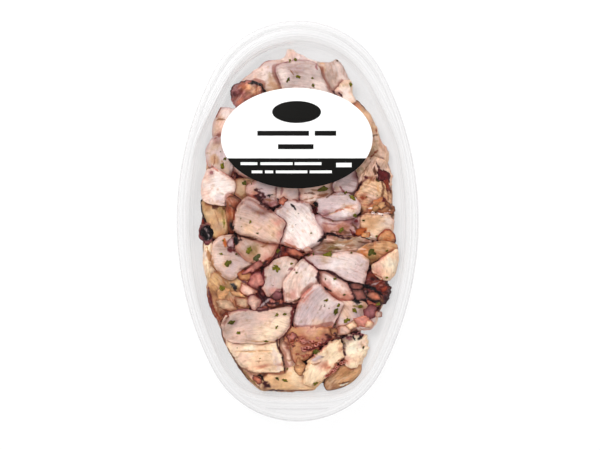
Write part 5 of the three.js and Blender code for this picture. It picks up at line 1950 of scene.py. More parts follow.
    ((-20, -71.8), (-19, -72.2), (-17.5, -72), 0.5, LEAF, 0.85),
    ((-32, -78.3), (-27, -78.8), (-21, -77.8), 0.35, SAND, 0.8),
    ((-35, -87.5), (-29, -90), (-24, -91), 0.5, UMBER, 0.6),
    ((-24, -92.5), (-21.5, -93), (-20.3, -96), 0.7, BLACK),
    ((-21, -97), (-19, -97.5), (-16.5, -99.5), 1.3, PLUM, 0.95),
    ((-24, -84), (-23, -84.3), (-22.3, -84), 0.7, UMBER, 0.6),
    ((-42, -76), (-38, -84), (-33, -89.5), 0.5, BROWN, 0.85),
    ((-33, -89.5), (-29, -95), (-22, -101.3), 0.6, OLIVE, 0.85),
    ((-18, -101.7), (-14, -102.2), (-8, -102), 0.7, PLUM, 0.9),
    ((-8, -102), (0, -102.5), (9, -101.7), 0.5, UMBER, 0.9),
    ((-30, 82), (-27, 84), (-21.5, 80.7), 0.7, BLACK, 0.95, 0.3),
    ((-21.5, 80.7), (-20.5, 78.5), (-19, 77.5), 0.6, BLACK, 0.95),
    ((-4.3, 90.3), (-3, 88.5), (-2.3, 87.8), 0.4, UMBER, 0.85),
    ((11.2, 94), (11, 92), (12, 90.5), 0.5, MAUVE, 0.8),
    ((13, 94.7), (15, 95.3), (16.5, 94.7), 0.5, SAND, 0.85),
    ((20.3, 78.5), (21.5, 78), (22.3, 76.5), 0.8, PLUM, 0.9),
    ((24.5, 77), (26, 76), (26.8, 74.2), 0.6, PLUM, 0.9),
))


def painted(x: Array, y: Array, relief: Array, tint: Array) -> tuple[Array, Array]:
    """Adds every mark to a surface.

    Args:
        x: the places across, over any grid.
        y: the places along, over the same grid.
        relief: the surface's heights.
        tint: its colours.

    Returns:
        The new heights and colours.
    """
    for mark in MARKS:
        mask = mark.mask(x, y)
        if mask.any():
            relief = relief + mark.height * mask
            tint = toward(tint, mark.tone, mark.strength * mask)
    return relief, tint


@dataclass(frozen=True)
class Blot:
    """Spots that are in every slice: a tone that shows where clouds of a size rise from starts to full."""

    tone: Tone
    strength: float
    size: float
    seed: float
    starts: float
    full: float

    def over(self, tint: Array, x: Array, y: Array, seed: int, where: Array) -> Array:
        """Puts the spots over colours.

        Args:
            tint: the colours.
            x: the places across, over any grid.
            y: the places along, over the same grid.
            seed: the slice's own seed.
            where: how strongly they show at each place.

        Returns:
            The new colours.
        """
        spots = smooth(clouds(x, y, self.size, seed + self.seed), self.starts, self.full)
        return toward(tint, self.tone, self.strength * (spots * where))


SMUDGE = Blot(TAN, 0.35, 3.0, 95, 0.5, 0.95)
STAIN = Blot(OLIVE, 0.3, 2.4, 130, 0.45, 0.8)
STRAY_SKIN = Blot(MAUVE, 0.35, 6.0, 21, -0.2, 0.6)


@dataclass
class SliceHeap:
    """All slices, in the order in which they lie on each other."""

    sizes: TraySizes
    heap: HeightMap
    crisp: float = 0.14
    grow: float = 1.0
    thickness: float = 1.9
    thin_edge: float = 1.2
    edge_run: float = 3.0
    edge_round: float = 0.35
    wall_gap: float = 0.8
    wander: float = 0.45
    point_gap: float = 0.34
    ring_gap: float = 0.36
    fewest: tuple[int, int] = (96, 18)
    most: tuple[int, int] = (340, 46)
    lower_rings: int = 7
    ceiling: float = 15.0
    sag: float = 1.6
    sag_run: float = 2.5
    climb: float = 3.2
    streaks: Place = (0.16, 0.42)
    wash: float = 0.75
    vein: float = 0.3
    brim: float = 0.62
    rim: float = 0.95
    halo: float = 0.24
    shine_through: float = 0.5
    shine_run: float = 1.5

    def edge(self, piece: Slice, seed: int, sides: int) -> Array:
        """The slice's edge: its rounded outline with slow waves and small tears, kept inside the well.

        Args:
            piece: the slice.
            seed: picks its waves.
            sides: how many points.

        Returns:
            Places by point, counterclockwise.
        """
        places = piece.outline(sides, self.crisp)
        out = places - places.mean(axis=0)
        out = out / np.linalg.norm(out, axis=1)[:, None]
        x, y = places.T
        wave = self.wander * clouds(x, y, 6.0, seed, 2) + piece.ragged * clouds(x, y, 1.6, seed + 3, 2)
        places = places + out * (self.grow + wave)[:, None]
        return np.stack(self.sizes.kept_inside(places[:, 0], places[:, 1], self.wall_gap), axis=-1)

    def spokes(self, piece: Slice, seed: int) -> tuple[Array, Array]:
        """The places of a slice's points, over share and facing, from its middle (0) to its edge (1).

        Args:
            piece: the slice.
            seed: picks its edge.

        Returns:
            The places by ring and side, and how far each is from the edge.
        """
        corners = np.array(piece.corners)
        girth = np.linalg.norm(np.roll(corners, -1, axis=0) - corners, axis=1).sum()
        edge = self.edge(piece, seed, int(np.clip(girth / self.point_gap, self.fewest[0], self.most[0])))
        middle = edge.mean(axis=0)
        radius = np.linalg.norm(edge - middle, axis=1)
        rings = int(np.clip(radius.mean() / self.ring_gap, self.fewest[1], self.most[1]))
        share = np.sin(np.linspace(0.04, 1, rings) * QUARTER_TURN) ** 0.9
        share[-1] = 1.0
        return middle + share[:, None, None] * (edge - middle), (1 - share[:, None]) * radius

    def base(self, x: Array, y: Array, from_edge: Array, lower_map: Array) -> Array:
        """A slice's lower face: its solid's, sagged onto the heap at the edge and lifted to clear it.

        The lift is at most climb, and the face stays a millimetre under the ceiling.

        Args:
            x: the places across, by ring and side.
            y: the places along, over the same grid.
            from_edge: how far each place is from the slice's edge.
            lower_map: the heights of the solid's lower face.

        Returns:
            Heights over the grid.
        """
        base = self.heap.sample(lower_map, x, y) + 0.2
        sagged = np.clip(self.heap.top_at(x, y), base - self.sag, base + self.climb)
        base = sagged + (base - sagged) * smooth(from_edge, 0, self.sag_run)
        lift = np.minimum(self.lift_over_heap(x, y, base), self.climb)
        return np.minimum(base + lift, self.ceiling - 1.0)

    def lift_over_heap(self, x: Array, y: Array, base: Array) -> Array:
        """How far a slice's lower face has to rise to clear what lies under it, evened out over its width.

        Args:
            x: the places across, by ring and side.
            y: the places along, over the same grid.
            base: the heights of the lower face.

        Returns:
            How far it rises at each place.
        """
        need = np.maximum(self.heap.top_at(x, y) + 0.1 - base, 0)
        lift = np.zeros(self.heap.shape)
        self.heap.splat(lift, np.stack([x, y, need], axis=-1).reshape(-1, 3))
        lift = self.heap.blurred(self.heap.spread(lift, 2), 2, 2)
        return np.maximum(self.heap.sample(lift, x, y), 0.6 * need)

    def lay(self, piece: Slice, seed: int, node: bpy.types.Object) -> Laid:
        """Makes one slice on the heap, where its solid lies.

        Its thickness gets less towards the edge, which is rounded by sqrt(1 - (1 - distance / radius)^2).

        Args:
            piece: the slice.
            seed: its place in the stack, from 1.
            node: its solid.

        Returns:
            The slice as a piece of the heap.
        """
        places, from_edge = self.spokes(piece, seed)
        x = places[..., 0]
        y = places[..., 1]
        _, lower_map = self.heap.of_node(node, 4)
        base = self.base(x, y, from_edge, lower_map)
        round_off = np.sqrt(np.clip(1 - np.clip(1 - from_edge / self.edge_round, 0, 1) ** 2, 0, 1))
        full = self.thin_edge + (self.thickness - self.thin_edge) * smooth(from_edge, 0, self.edge_run)
        middle = places[-1].mean(axis=0)
        relief, tint = self.surface(piece, seed, x, y, from_edge, middle)
        wavy = relief * smooth(from_edge, -0.2, 1.0)
        ceiling = self.ceiling - 0.05 * seed / len(SLICES)
        top = np.minimum(base + full * round_off + wavy, ceiling)
        under = np.minimum(base, top)
        under[-1] = top[-1] = (base[-1] + top[-1]) / 2
        upper = np.stack([x, y, top], axis=-1)
        keep = np.unique(np.linspace(0, len(x) - 2, self.lower_rings).astype(int))
        lower = np.stack([x, y, under], axis=-1)[keep]
        centre = np.array([*middle, 0.0])
        ends = (centre + [0, 0, height[0].mean()] for height in (under, top))
        skin = Skin.closed(np.concatenate([lower, upper[::-1]]), *ends)
        skin.paint(np.concatenate([tint[keep], tint[::-1]]))
        skin.grain = self.grain(piece, seed, skin.points)
        self.heap.cover(upper.reshape(-1, 3), tint.reshape(-1, 3))
        return Laid(skin, piece.name + "_flesh", piece.flesh.finish(), piece.flesh.value, piece.name)

    @staticmethod
    def grain(piece: Slice, seed: int, points: Array) -> Array:
        """Coordinates along and across the fibres, in millimetres, with a bend and a layer for each slice.

        Args:
            piece: the slice.
            seed: its place in the stack, from 1.
            points: places, one row each.

        Returns:
            The coordinates, one row for each place.
        """
        along, across = turned(points[:, 0] - piece.middle[0], points[:, 1] - piece.middle[1], -piece.turn)
        across = across + 0.012 * along**2
        return np.stack([along, across, np.full(len(points), 7.3 * seed)], axis=-1)

    def flesh(self, piece: Slice, seed: int, x: Array, y: Array) -> Array:
        """Colours of a slice's own flesh: its tone under its washes, with fibres, veins, smudges and stains.

        Args:
            piece: the slice.
            seed: its place in the stack, from 1.
            x: the places across, by ring and side.
            y: the places along, over the same grid.

        Returns:
            Colours over the grid.
        """
        patch = clouds(x, y, 3.2, seed + 60)
        fine = clouds(x, y, 1.3, seed + 40)
        tint = np.broadcast_to(piece.tone.shown, (*x.shape, 3))
        for wash_x, wash_y, radius, tone in piece.washes:
            away = np.hypot(x - wash_x, y - wash_y) / radius + 0.5 * patch + 0.15 * fine
            tint = toward(tint, tone, self.wash * smooth(-away, -2.0, -0.1))
        tint = tint * (1 + 0.025 * patch + 0.025 * fine)[..., None]
        flat = np.stack([x, y], axis=-1).reshape(-1, 2)
        along, across, _ = self.grain(piece, seed, flat).T.reshape(3, *x.shape)
        streak = clouds(along / 3.5, across, 1.0, seed + 110, 2)
        fibrous = self.streaks[piece.flesh in (Flesh.TAN, Flesh.BROWN, Flesh.SKIN)]
        tint = toward(tint, UMBER, fibrous * smooth(streak, 0.15, 0.8))
        tint = toward(tint, WHITE, 0.7 * fibrous * smooth(-streak, 0.25, 0.9))
        vein = bell(clouds(x, y, 8.0, seed + 90), 0.03) * smooth(patch, -0.2, 0.5)
        tint = toward(tint, DUSK, self.vein * vein)
        tint = SMUDGE.over(tint, x, y, seed, smooth(clouds(x, y, 7.0, seed), -0.5, 0.3))
        return STAIN.over(tint, x, y, seed, smooth(-patch, -0.3, 0.5))

    def surface(
        self, piece: Slice, seed: int, x: Array, y: Array, from_edge: Array, middle: Array
    ) -> tuple[Array, Array]:
        """Relief and colour of a slice's upper face.

        Relief is the sum of soft waves, a crinkled bead along the skin, creases and marks. Colour is the
        slice's flesh, which turns to its brim's tone towards the edge and to skin on the rims. Where the
        slice thins out over another one, what lies under it shines through.

        Args:
            piece: the slice.
            seed: its place in the stack, from 1.
            x: the places across, by ring and side.
            y: the places along, over the same grid.
            from_edge: how far each place is from the slice's edge.
            middle: the slice's middle.

        Returns:
            Heights in millimetres and colours, both over the same grid as x and y.
        """
        facing = np.degrees(np.arctan2(y - middle[1], x - middle[0]))
        patch = clouds(x, y, 3.2, seed + 60)
        tint = self.flesh(piece, seed, x, y)
        depth = 1.7 * piece.bleed * (1 + 0.5 * clouds(x, y, 4.0, seed + 80))
        tint = toward(tint, piece.brim, self.brim * np.exp(-((from_edge / depth) ** 1.3)))
        through = self.shine_through * bell(from_edge, self.shine_run) * smooth(patch, -0.6, 0.5)
        through *= smooth(self.heap.top_at(x, y), 5.5, 7.5)
        tint = toward(tint, self.heap.colour_at(x, y), through)
        bead = np.zeros(x.shape)
        for start, end, width, tone in piece.rims:
            span = (end - start) % 360 or 360
            into = (facing - start) % 360
            inside = smooth(into, 0, 7) * smooth(-into, -span, 7 - span) if span < 360 else np.ones(x.shape)
            wide = width * (0.9 + 0.5 * clouds(x, y, 2.2, seed + 7))
            skin = inside * smooth(-from_edge, -wide * 1.3, -wide * 0.8)
            halo = inside * bell(from_edge, 2.0 * width + 0.8)
            tint = toward(tint, tone, np.maximum(self.rim * skin, self.halo * halo))
            bead = np.maximum(bead, inside * bell(from_edge - 0.5, 0.6))
        tint = STRAY_SKIN.over(tint, x, y, seed, smooth(-from_edge, -0.6, -0.15))
        relief = 0.22 * clouds(x, y, 7.0, seed) + 0.06 * patch + 0.02 * clouds(x, y, 1.3, seed + 40)
        relief += bead * (0.2 + 0.2 * clouds(x, y, 0.9, seed + 13, 2))
        for crease in piece.creases:
            valley, ridge = self.fold(crease, seed, x, y)
            relief = relief - 0.5 * valley + 0.4 * ridge
            tint = toward(tint, SAND, 0.5 * valley)
        return painted(x, y, relief, tint)

    @staticmethod
    def fold(crease: tuple[float, float, float], seed: int, x: Array, y: Array) -> tuple[Array, Array]:
        """A fold line: a narrow valley beside a soft ridge.

        Args:
            crease: a place on the line and the way that it runs.
            seed: picks its waves.
            x: the places across, over any grid.
            y: the places along, over the same grid.

        Returns:
            The shares of the valley and of the ridge over the grid.
        """
        along, off = turned(x - crease[0], y - crease[1], -crease[2])
        off = off + 0.7 * clouds(x, y, 9.0, seed + 31)
        near = smooth(-np.abs(along), -14.0, -7.0)
        return near * bell(off, 0.5), near * bell(off - 1.5, 1.2)


# ---------------------------------------------------------------- the bed


@dataclass
class OctopusBed:
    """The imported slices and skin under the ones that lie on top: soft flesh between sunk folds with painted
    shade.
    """

    sizes: TraySizes
    heap: HeightMap
    rim: float = 2.6
    floor: float = 1.1
    wall_gap: float = 4.6
    head_room: float = 7.0
    foot_step: float = 1.8
    notch_at: float = -59.5
    notch_depth: float = 9.0
    notch_width: float = 7.0
    fold_gap: float = 7.0
    swell_gap: float = 1.0
    sides: int = 420
    rings_out: int = 140
    tones: tuple[Tone, ...] = (PLUM, WINE, RUST, WINE, DUSK, MAUVE, SALMON, ROSE)

    def edge(self, angle: Array) -> Array:
        """Distance to the bed's ragged edge: inside the well, further in at the head, with a notch.

        Args:
            angle: the directions to measure in.

        Returns:
            The distance in each direction.
        """
        away = (np.degrees(angle) - self.notch_at + 540) % 360 - 180
        notch = self.notch_depth * bell(away, self.notch_width)
        ragged = 0.6 * np.sin(23 * angle) * np.sin(7 * angle + 1)
        head = self.head_room * smooth(np.sin(angle), 0.6, 0.95)
        return self.sizes.well_radius(angle, 1.0) - self.wall_gap - head - notch + ragged

    def paint(self, x: Array, y: Array, fold: Array) -> Array:
        """Colours of the bed: flesh tones that drift into each other, painted shade in the folds and dark
        skin in patches.

        Args:
            x: the places across, over any grid.
            y: the places along, over the same grid.
            fold: how deep in a fold each place is, from 0 to 1.

        Returns:
            Colours over the grid.
        """
        table = np.stack([tone.shown for tone in self.tones])
        where = np.clip(0.5 + 0.75 * clouds(x, y, 5.5, 3.0, 2), 0, 1) * (len(table) - 1)
        tint = np.stack([np.interp(where, range(len(table)), table[:, band]) for band in range(3)], axis=-1)
        tint = tint * (1 + 0.18 * clouds(x, y, 1.8, 5.0))[..., None]
        speck = smooth(clouds(x, y, 4.5, 8.0), 0.2, 0.7)
        # Plum in the folds is painted shade; plum in the specks is dark skin.
        tint = toward(tint, PLUM, np.maximum(fold, 0.8 * speck))
        to_wall = self.edge(np.arctan2(y, x)) - np.hypot(x, y)
        pale = 0.85 * smooth(-to_wall, -5.0, -1.5) * smooth(clouds(x, y, 6.0, 14.0, 2), -0.75, -0.3)
        return toward(tint, BEIGE, pale)

    def swollen(self, bare: Array) -> Array:
        """Where the bed swells up between the slices, and how high.

        Args:
            bare: the heap's heights before the slices came on it.

        Returns:
            Heights over the heap's lattice: a little under the slices round each gap, and 0 under the slices.
        """
        covered = (self.heap.values > bare + 0.15).astype(float)
        gap = 1 - smooth(self.heap.blurred(covered, 1, 1), 0.1, 0.6)
        near = self.heap.blurred(self.heap.spread(self.heap.values * covered, 4), 2, 2)
        return (near - self.swell_gap) * gap

    def lay(self, node: bpy.types.Object, ground: Optional[Array] = None) -> Laid:
        """A surface over angle and share: the solid's own height, with soft folds along a cloud's zero lines.

        Where a ground is given, the bed swells up to it.

        Args:
            node: the bed's solid.
            ground: how high it swells, over the heap's lattice.

        Returns:
            The bed as the lowest piece of the heap.
        """
        angle = around(self.sides)
        edge = self.edge(angle)
        share = np.linspace(0.01, 1, self.rings_out)
        upper_map, _ = self.heap.of_node(node, 2)
        x = share[:, None] * edge * np.cos(angle)
        y = share[:, None] * edge * np.sin(angle)
        fold = 1 - smooth(np.abs(clouds(x, y, self.fold_gap, 6.0, 2)), 0.03, 0.3)
        top = self.heap.sample(upper_map, x, y)
        if ground is not None:
            top = np.maximum(top, self.heap.sample(ground, x, y))
        top += 0.2 * clouds(x, y, 2.8, 12.0) - 0.6 * fold
        relief, tint = painted(x, y, np.zeros(x.shape), self.paint(x, y, fold))
        top = np.maximum(top + relief, self.floor + 0.6)
        top[-1] = self.rim
        foot = ring_at(edge - self.foot_step, self.floor)
        rings = np.concatenate([foot[None], np.stack([x, y, top], axis=-1)[::-1]])
        middle = np.array([0, 0, self.floor])
        skin = Skin.closed(rings, middle, np.array([0, 0, top[0].mean()]))
        flat = np.concatenate([tint[-1:], tint[::-1]]).reshape(-1, 3)
        skin.tint = np.vstack([flat[0], flat, flat[-1]])
        self.heap.cover(skin.points, skin.tint)
        return Laid(skin, "packed_octopus", Flesh.BED.finish(), Flesh.BED.value, "octopus_bed")


# ---------------------------------------------------------------- lobes, suckers and leaves


@dataclass(frozen=True)
class Lobe:
    """A small lump of flesh on the heap: its middle, length and width, the way it points, tone and dark rim.

    ragged is how uneven its outline is, and swell how far its middle stands over its edge.
    """

    at: Place
    size: Place
    turn: float
    tone: Tone
    rim: Tone = WINE
    ragged: float = 0.1
    swell: float = 0.9


LOBES = tuple(Lobe(*row) for row in (
    ((-31.5, -33.2), (10, 5.5), -14, TAN, RUST, 0.2), ((-26.2, -28), (12, 4.6), 32, ROSE, WINE, 0.2, 0.7),
    ((-24.8, -35.6), (10, 8), 62, ROSE, WINE, 0.15), ((-45, -44), (9, 6), 50, SAND, TAN, 0.3, 0.5),
    ((-35.5, -44.2), (8, 3), -12, SAND, UMBER, 0.2, 0.6), ((-33, -48.8), (8, 6), 12, BEIGE, RUST, 0.2, 0.8),
    ((-43.5, -50.5), (10, 6), -20, BEIGE, UMBER, 0.3, 0.7), ((-29.3, -42), (11, 6), -28, SHELL, RUST, 0.15),
    ((-26.2, -49), (8, 8), 0, SHELL, WINE, 0.15), ((-43, -56.6), (4, 3.4), 0, RUST, BROWN, 0.1, 0.6),
    ((-12.3, -44.8), (6, 4.6), 20, MAUVE, PLUM), ((37, -44.3), (9, 6), -38, DUSK, BLACK, 0.05),
    ((46.2, -45.2), (7, 5), -15, SALMON, BLACK, 0.05), ((52, -41), (4.4, 3.4), 30, RUST, WINE, 0.05),
    ((35.4, -39), (7.5, 3.6), -14, DUSK, BLACK, 0.15, 0.7),
    ((44.5, -50.5), (7, 3.4), -35, SALMON, WINE, 0.2, 0.6),
    ((43.8, -54.6), (8, 7.5), -50, MAUVE, WINE, 0.2, 1.1), ((38.6, -60.3), (12, 6), -8, ROSE, SALMON, 0.2),
    ((43.2, -62), (5, 4.2), 30, PEACH, SALMON, 0.2), ((48.9, -56.2), (4.6, 3.6), 20, SHELL, RUST, 0.3),
    ((27.3, -65.6), (8, 5.4), 5, SHELL, UMBER), ((32.3, -62.8), (6.5, 4.6), 30, PEACH, UMBER),
    ((22, -66.2), (4.6, 4.4), 80, TAN, BROWN), ((-3.6, -69.6), (6, 4.6), 15, ROSE, WINE, 0.3),
    ((3.2, -71.6), (5, 3.6), -30, ROSE, RUST, 0.3, 0.6), ((1.2, -88), (11, 5), -82, SAND, UMBER, 0.05, 0.7),
    ((52, 27.3), (7.6, 6), -50, WINE, PLUM, 0.5), ((54, 21.6), (7.5, 2.6), -68, RUST, WINE, 0.3, 0.6),
    ((37.6, -6.4), (6, 4), 10, ORANGE, RUST, 0.3), ((41, -8.5), (5.5, 3), -5, SAND, ORANGE, 0.1, 0.6),
    ((-24, -95.3), (6, 3.6), -35, SALMON, PLUM, 0.2, 0.7),
    ((-9, 12), (5.6, 3.8), 15, SALMON, WINE, 0.2, 0.8),
    ((-1.5, -19), (9, 3.6), -14, SALMON, WINE, 0.2, 0.8), ((6, -17.4), (4, 4), 60, SHELL, ROSE, 0.3, 0.8),
    ((50.3, 9), (5, 3.6), 20, SAND, BROWN, 0.3, 0.8), ((46.5, 7.5), (4, 3.4), 60, TAN, OLIVE, 0.3, 0.8),
    ((-40, -13.5), (4.4, 5.4), 0, GREY_LILAC, WINE, 0.2, 0.7),
))


@dataclass
class Lobes:
    """The small lumps between the slices, as one mesh."""

    heap: HeightMap
    sides: int = 56
    rings: int = 14
    soft: int = 2
    swell_out: float = 1.25
    ceiling: float = 14.6
    edge_step: float = 0.45
    sunk: float = 0.8

    def lobe(self, row: Lobe, seed: float, ground: Array) -> Skin:
        """A lump that swells out of the heap.

        Over facing and share s its height above the softened heap is swell (1 - s^2) plus a low step at the
        edge, and its outline is an oval with soft corners. Its colour is its tone, with dark skin at the
        edge.

        Args:
            row: the lobe.
            seed: picks its outline.
            ground: the heap's softened heights.

        Returns:
            The lump's mesh.
        """
        share = np.sin(np.linspace(0.06, 1, self.rings) * QUARTER_TURN)[:, None]
        angle = around(self.sides)
        reach = soft_polygon(angle, 4 + int(seed) % 2, seed, 5.0, seed)
        reach = reach * (1 + (0.05 + row.ragged) * ring_clouds(angle, 3, 1.8, seed))
        u = self.swell_out * row.size[0] / 2 * share * reach * np.cos(angle)
        v = self.swell_out * row.size[1] / 2 * share * reach * np.sin(angle)
        across, along = turned(u, v, row.turn)
        x = row.at[0] + across
        y = row.at[1] + along
        rest = self.heap.sample(ground, x, y)
        lift = (1 - share**2) * row.swell + self.edge_step * smooth(-share, -1.0, -0.8)
        top = np.minimum(rest + lift + 0.1 * clouds(x, y, 2.0, seed), self.ceiling)
        low = rest - self.sunk
        top[-1] = low[-1] = rest[-1] - 0.1
        stack = np.concatenate([np.stack([x, y, low], axis=-1)[::3], np.stack([x, y, top], axis=-1)[::-1]])
        ends = (np.array([*row.at, float(height[0].mean())]) for height in (low, top))
        skin = Skin.closed(stack, *ends)
        blotch = 1 + 0.08 * clouds(x, y, 1.6, seed) + 0.05 * clouds(x, y, 0.8, seed)
        core = row.tone.shown * blotch[..., None]
        out = share + 0.12 * clouds(x, y, 2.4, seed + 5)
        tint = toward(core, row.rim, 0.45 * smooth(out, 0.3, 0.95) + 0.5 * smooth(out, 0.8, 1.0))
        skin.paint(np.concatenate([tint[::3], tint[::-1]]))
        return skin

    def lay(self) -> Laid:
        """Lays the lobes one after the other.

        Returns:
            The lobes as one piece of the heap.
        """
        made = []
        for order, row in enumerate(LOBES):
            ground = self.heap.blurred(self.heap.values, self.soft, 2)
            skin = self.lobe(row, order + 1.0, ground)
            self.heap.cover(skin.points, skin.tint)
            made.append(skin)
        return Laid(Skin.joined(made), "flesh_lobes", Flesh.BROWN.finish(), Flesh.BED.value)


@dataclass(frozen=True)
class SuckerRow:
    """A row of suckers on a bow from start over via to end: how many, how large, and their colours."""

    start: Place
    via: Place
    end: Place
    count: int
    radius: float
    lip: Tone = ROSE
    hole: Tone = WINE


SUCKER_ROWS = tuple(SuckerRow(*row) for row in (
    ((44.5, 5.5), (50, 1.5), (56, 6.5), 8, 0.8, SHELL, BROWN),
    ((1.5, -76), (8, -78), (16, -71), 8, 1.3, ROSE, RUST),
    ((3, -72.5), (7, -74), (13, -70), 5, 1.0, ROSE, RUST),
    ((-1.5, -79), (3, -82), (7.5, -80), 6, 0.8, SALMON, RUST),
    ((-1, -71), (2, -74), (3.5, -69.5), 5, 0.7, SALMON, WINE),
    ((14, -74.5), (19, -71.5), (23, -67), 6, 0.7, ROSE, WINE),
    ((-4.6, -67.5), (-4, -72), (-2.6, -76), 4, 1.1, SALMON, WINE),
    ((17, -93.5), (21.5, -89.5), (28.5, -84.5), 9, 1.0, ROSE, RUST),
    ((29.5, -70.5), (34, -66.5), (40, -69), 6, 0.9, MAUVE, BLACK),
))


@dataclass(frozen=True)
class Cup:
    """One sucker: where it sits, its outer radius, what picks its waves, and its tones.

    bore is the hole's radius as a share of the outer one, length its size along as a share of that across,
    and wave how uneven its outline is.
    """

    at: Place
    radius: float
    seed: float
    lip: Tone
    hole: Tone
    bore: float = 0.35
    length: float = 0.86
    wave: float = 0.2

    @property
    def profile(self) -> Array:
        """Shares of radius and of height, from the foot out and up to a round lip and down into the hole.

        Returns:
            One row for each ring of points, as shares of the radius and of the height.
        """
        bore = self.bore
        return np.array([
            (0.7, -0.35), (0.98, -0.2), (1.06, 0.02), (1.02, 0.2), (0.92, 0.3), (0.5 + 0.4 * bore, 0.32),
            (0.25 + 0.75 * bore, 0.26), (1.05 * bore, 0.12), (0.8 * bore, -0.06), (0.45 * bore, -0.14),
        ])


@dataclass
class Suckers:
    """The rows of suckers on the arms' skin, and the one large one at the left wall."""

    heap: HeightMap
    sides: int = 22
    large: Cup = Cup((-54.6, -7.2), 5.0, 3.0, MAUVE, BLACK, 0.74, 1.1, 0.4)
    tallest: float = 2.0
    ceiling: float = 14.4

    def cup(self, cup: Cup) -> Skin:
        """Turns a sucker's profile round its middle, wavy at the lip, on top of the heap.

        Args:
            cup: the sucker.

        Returns:
            The sucker's mesh.
        """
        angle = around(self.sides)
        uneven = 1 + cup.wave * ring_clouds(angle, 1.5, 1.0, cup.seed)
        out = cup.radius * cup.profile[:, :1] * uneven
        foot_ring = 0.8 * cup.radius
        under = self.heap.top_at(cup.at[0] + foot_ring * np.cos(angle), cup.at[1] + foot_ring * np.sin(angle))
        rise = min(cup.radius, self.tallest)
        level = min(float(np.quantile(under, 0.8)) + 0.1 * rise, self.ceiling)
        x = cup.at[0] + out * np.cos(angle)
        y = cup.at[1] + out * np.sin(angle) * cup.length
        z = level + rise * cup.profile[:, 1:] * np.ones(self.sides)
        ends = (np.array([*cup.at, level - depth * rise]) for depth in (0.35, 0.16))
        skin = Skin.closed(np.stack([x, y, z], axis=-1), *ends)
        x, y, _ = skin.points.T
        away = np.hypot(x - cup.at[0], (y - cup.at[1]) / cup.length) / cup.radius
        away = away + 0.15 * clouds(x, y, 2.0, cup.seed + 2)
        lip = cup.lip.shown * (1 + 0.2 * clouds(x, y, 1.2, cup.seed))[:, None]
        hole = np.broadcast_to(cup.hole.shown, lip.shape)
        skin.tint = toward(hole, lip, smooth(away, cup.bore, cup.bore + 0.25))
        skin.tint = toward(skin.tint, WINE, 0.6 * smooth(away, 0.92, 1.1))
        return skin

    @staticmethod
    def in_row(row: SuckerRow, number: int) -> list[Cup]:
        """The suckers of a row, each a little off the bow and off the row's size.

        Args:
            row: the row.
            number: its place in the table.

        Returns:
            Its suckers.
        """
        cups = []
        places = bow(row.start, row.via, row.end, (np.arange(row.count) + 0.5) / row.count)
        for order, (x, y) in enumerate(places):
            shift, spread = scatter_numbers(order + 3 * number + 1)
            at = (float(x), float(y) + 1.4 * row.radius * (shift - 0.5))
            cups.append(Cup(at, row.radius * (0.6 + 0.8 * spread), 10 * number + order, row.lip, row.hole))
        return cups

    def lay(self) -> Laid:
        """Sets every row on the heap.

        Returns:
            The suckers as one piece of the heap.
        """
        cups = [self.large]
        for number, row in enumerate(SUCKER_ROWS):
            cups += self.in_row(row, number)
        skin = Skin.joined([self.cup(cup) for cup in cups])
        flat = np.zeros(len(skin.points))
        _, skin.tint = painted(skin.points[:, 0], skin.points[:, 1], flat, skin.tint)
        self.heap.cover(skin.points, skin.tint)
        finish = FleshFinish("sucker_skin", mottle_low=0.7, mottle_high=1.2, mottle_size=1.2, roughness=0.26)
        return Laid(skin, "suckers", finish, Flesh.SKIN.value)


LEAVES = (
    (-1.2, 97, 80, 0.9), (-4.8, 96, 70, 0.7), (-5.7, 84.6, 60, 0.9), (0.3, 86.6, -20, 0.9),
    (9, 85.7, 10, 0.6), (9.3, 81.3, -60, 0.8), (32, 82, 90, 0.9), (24, 96.8, 40, 0.4),
    (-43.5, 37.3, 50, 0.7), (-45.3, 33, 85, 1.1), (-32, 23, 0, 1.0), (15, 19, 10, 1.6), (33, 14, -35, 1.3),
    (28.8, 17, 60, 0.7), (-28.5, -0.6, 70, 0.6), (-24, -7.4, 10, 0.5), (-44.6, -11.6, 80, 0.5),
    (-29.5, -17.8, 60, 1.4), (-36.8, -19.9, 20, 0.5), (-45.8, -19.8, 0, 0.6), (-24.5, -22, 40, 1.5),
    (-42, -25.5, 50, 1.6), (-12.7, -28.5, -35, 1.8), (-0.6, -31, 10, 0.5), (-3.7, -25.7, 20, 0.6),
    (-45, -40.3, -50, 1.3), (16.7, -34.9, 80, 0.4), (22.3, -34.7, 10, 0.6), (28, -44.4, 0, 0.6),
    (17.2, -47.6, 15, 0.8), (24.6, -50.3, 60, 0.8), (22.8, -54.3, 60, 1.2), (34, -53.8, -30, 1.0),
    (29.7, -59.6, 40, 1.2), (37.5, -51.5, 20, 1.0), (48.5, -50, 20, 0.9), (44.5, -19, 12, 1.7),
    (53.7, -17.9, 30, 0.5), (18.3, -20.2, 25, 1.6), (32.2, -19.1, 0, 0.5), (26.5, -5.2, 35, 1.0),
    (39.5, 0.3, 0, 0.5), (34.5, 3.2, 0, 0.8), (8, -7.3, 0, 0.35), (-39.5, -60.7, 10, 1.4),
    (-35.5, -67, -5, 0.9), (-12.5, -56.3, 60, 0.9), (-7.6, -55.9, 5, 0.6), (-12.7, -63.8, 60, 0.6),
    (-12.2, -94.5, -30, 0.8), (-7.5, -95.7, -20, 0.9), (10.7, -97.8, 20, 0.9), (11, -78.7, 30, 1.3),
    (-6.2, -88.6, 50, 0.5), (39.7, -76, 60, 0.6), (-19, -72, 0, 0.6), (53.5, -34, 20, 0.6),
    (9.5, -19.8, 80, 0.5), (-12, -18, 85, 0.9), (47.5, -9, 30, 0.5),
)


@dataclass(frozen=True)
class Leaf:
    """One torn leaf: its middle, the way it points, its size as a share of a full one, and its seed."""

    x: float
    y: float
    turn: float
    size: float
    seed: float
    rings: int
    sides: int


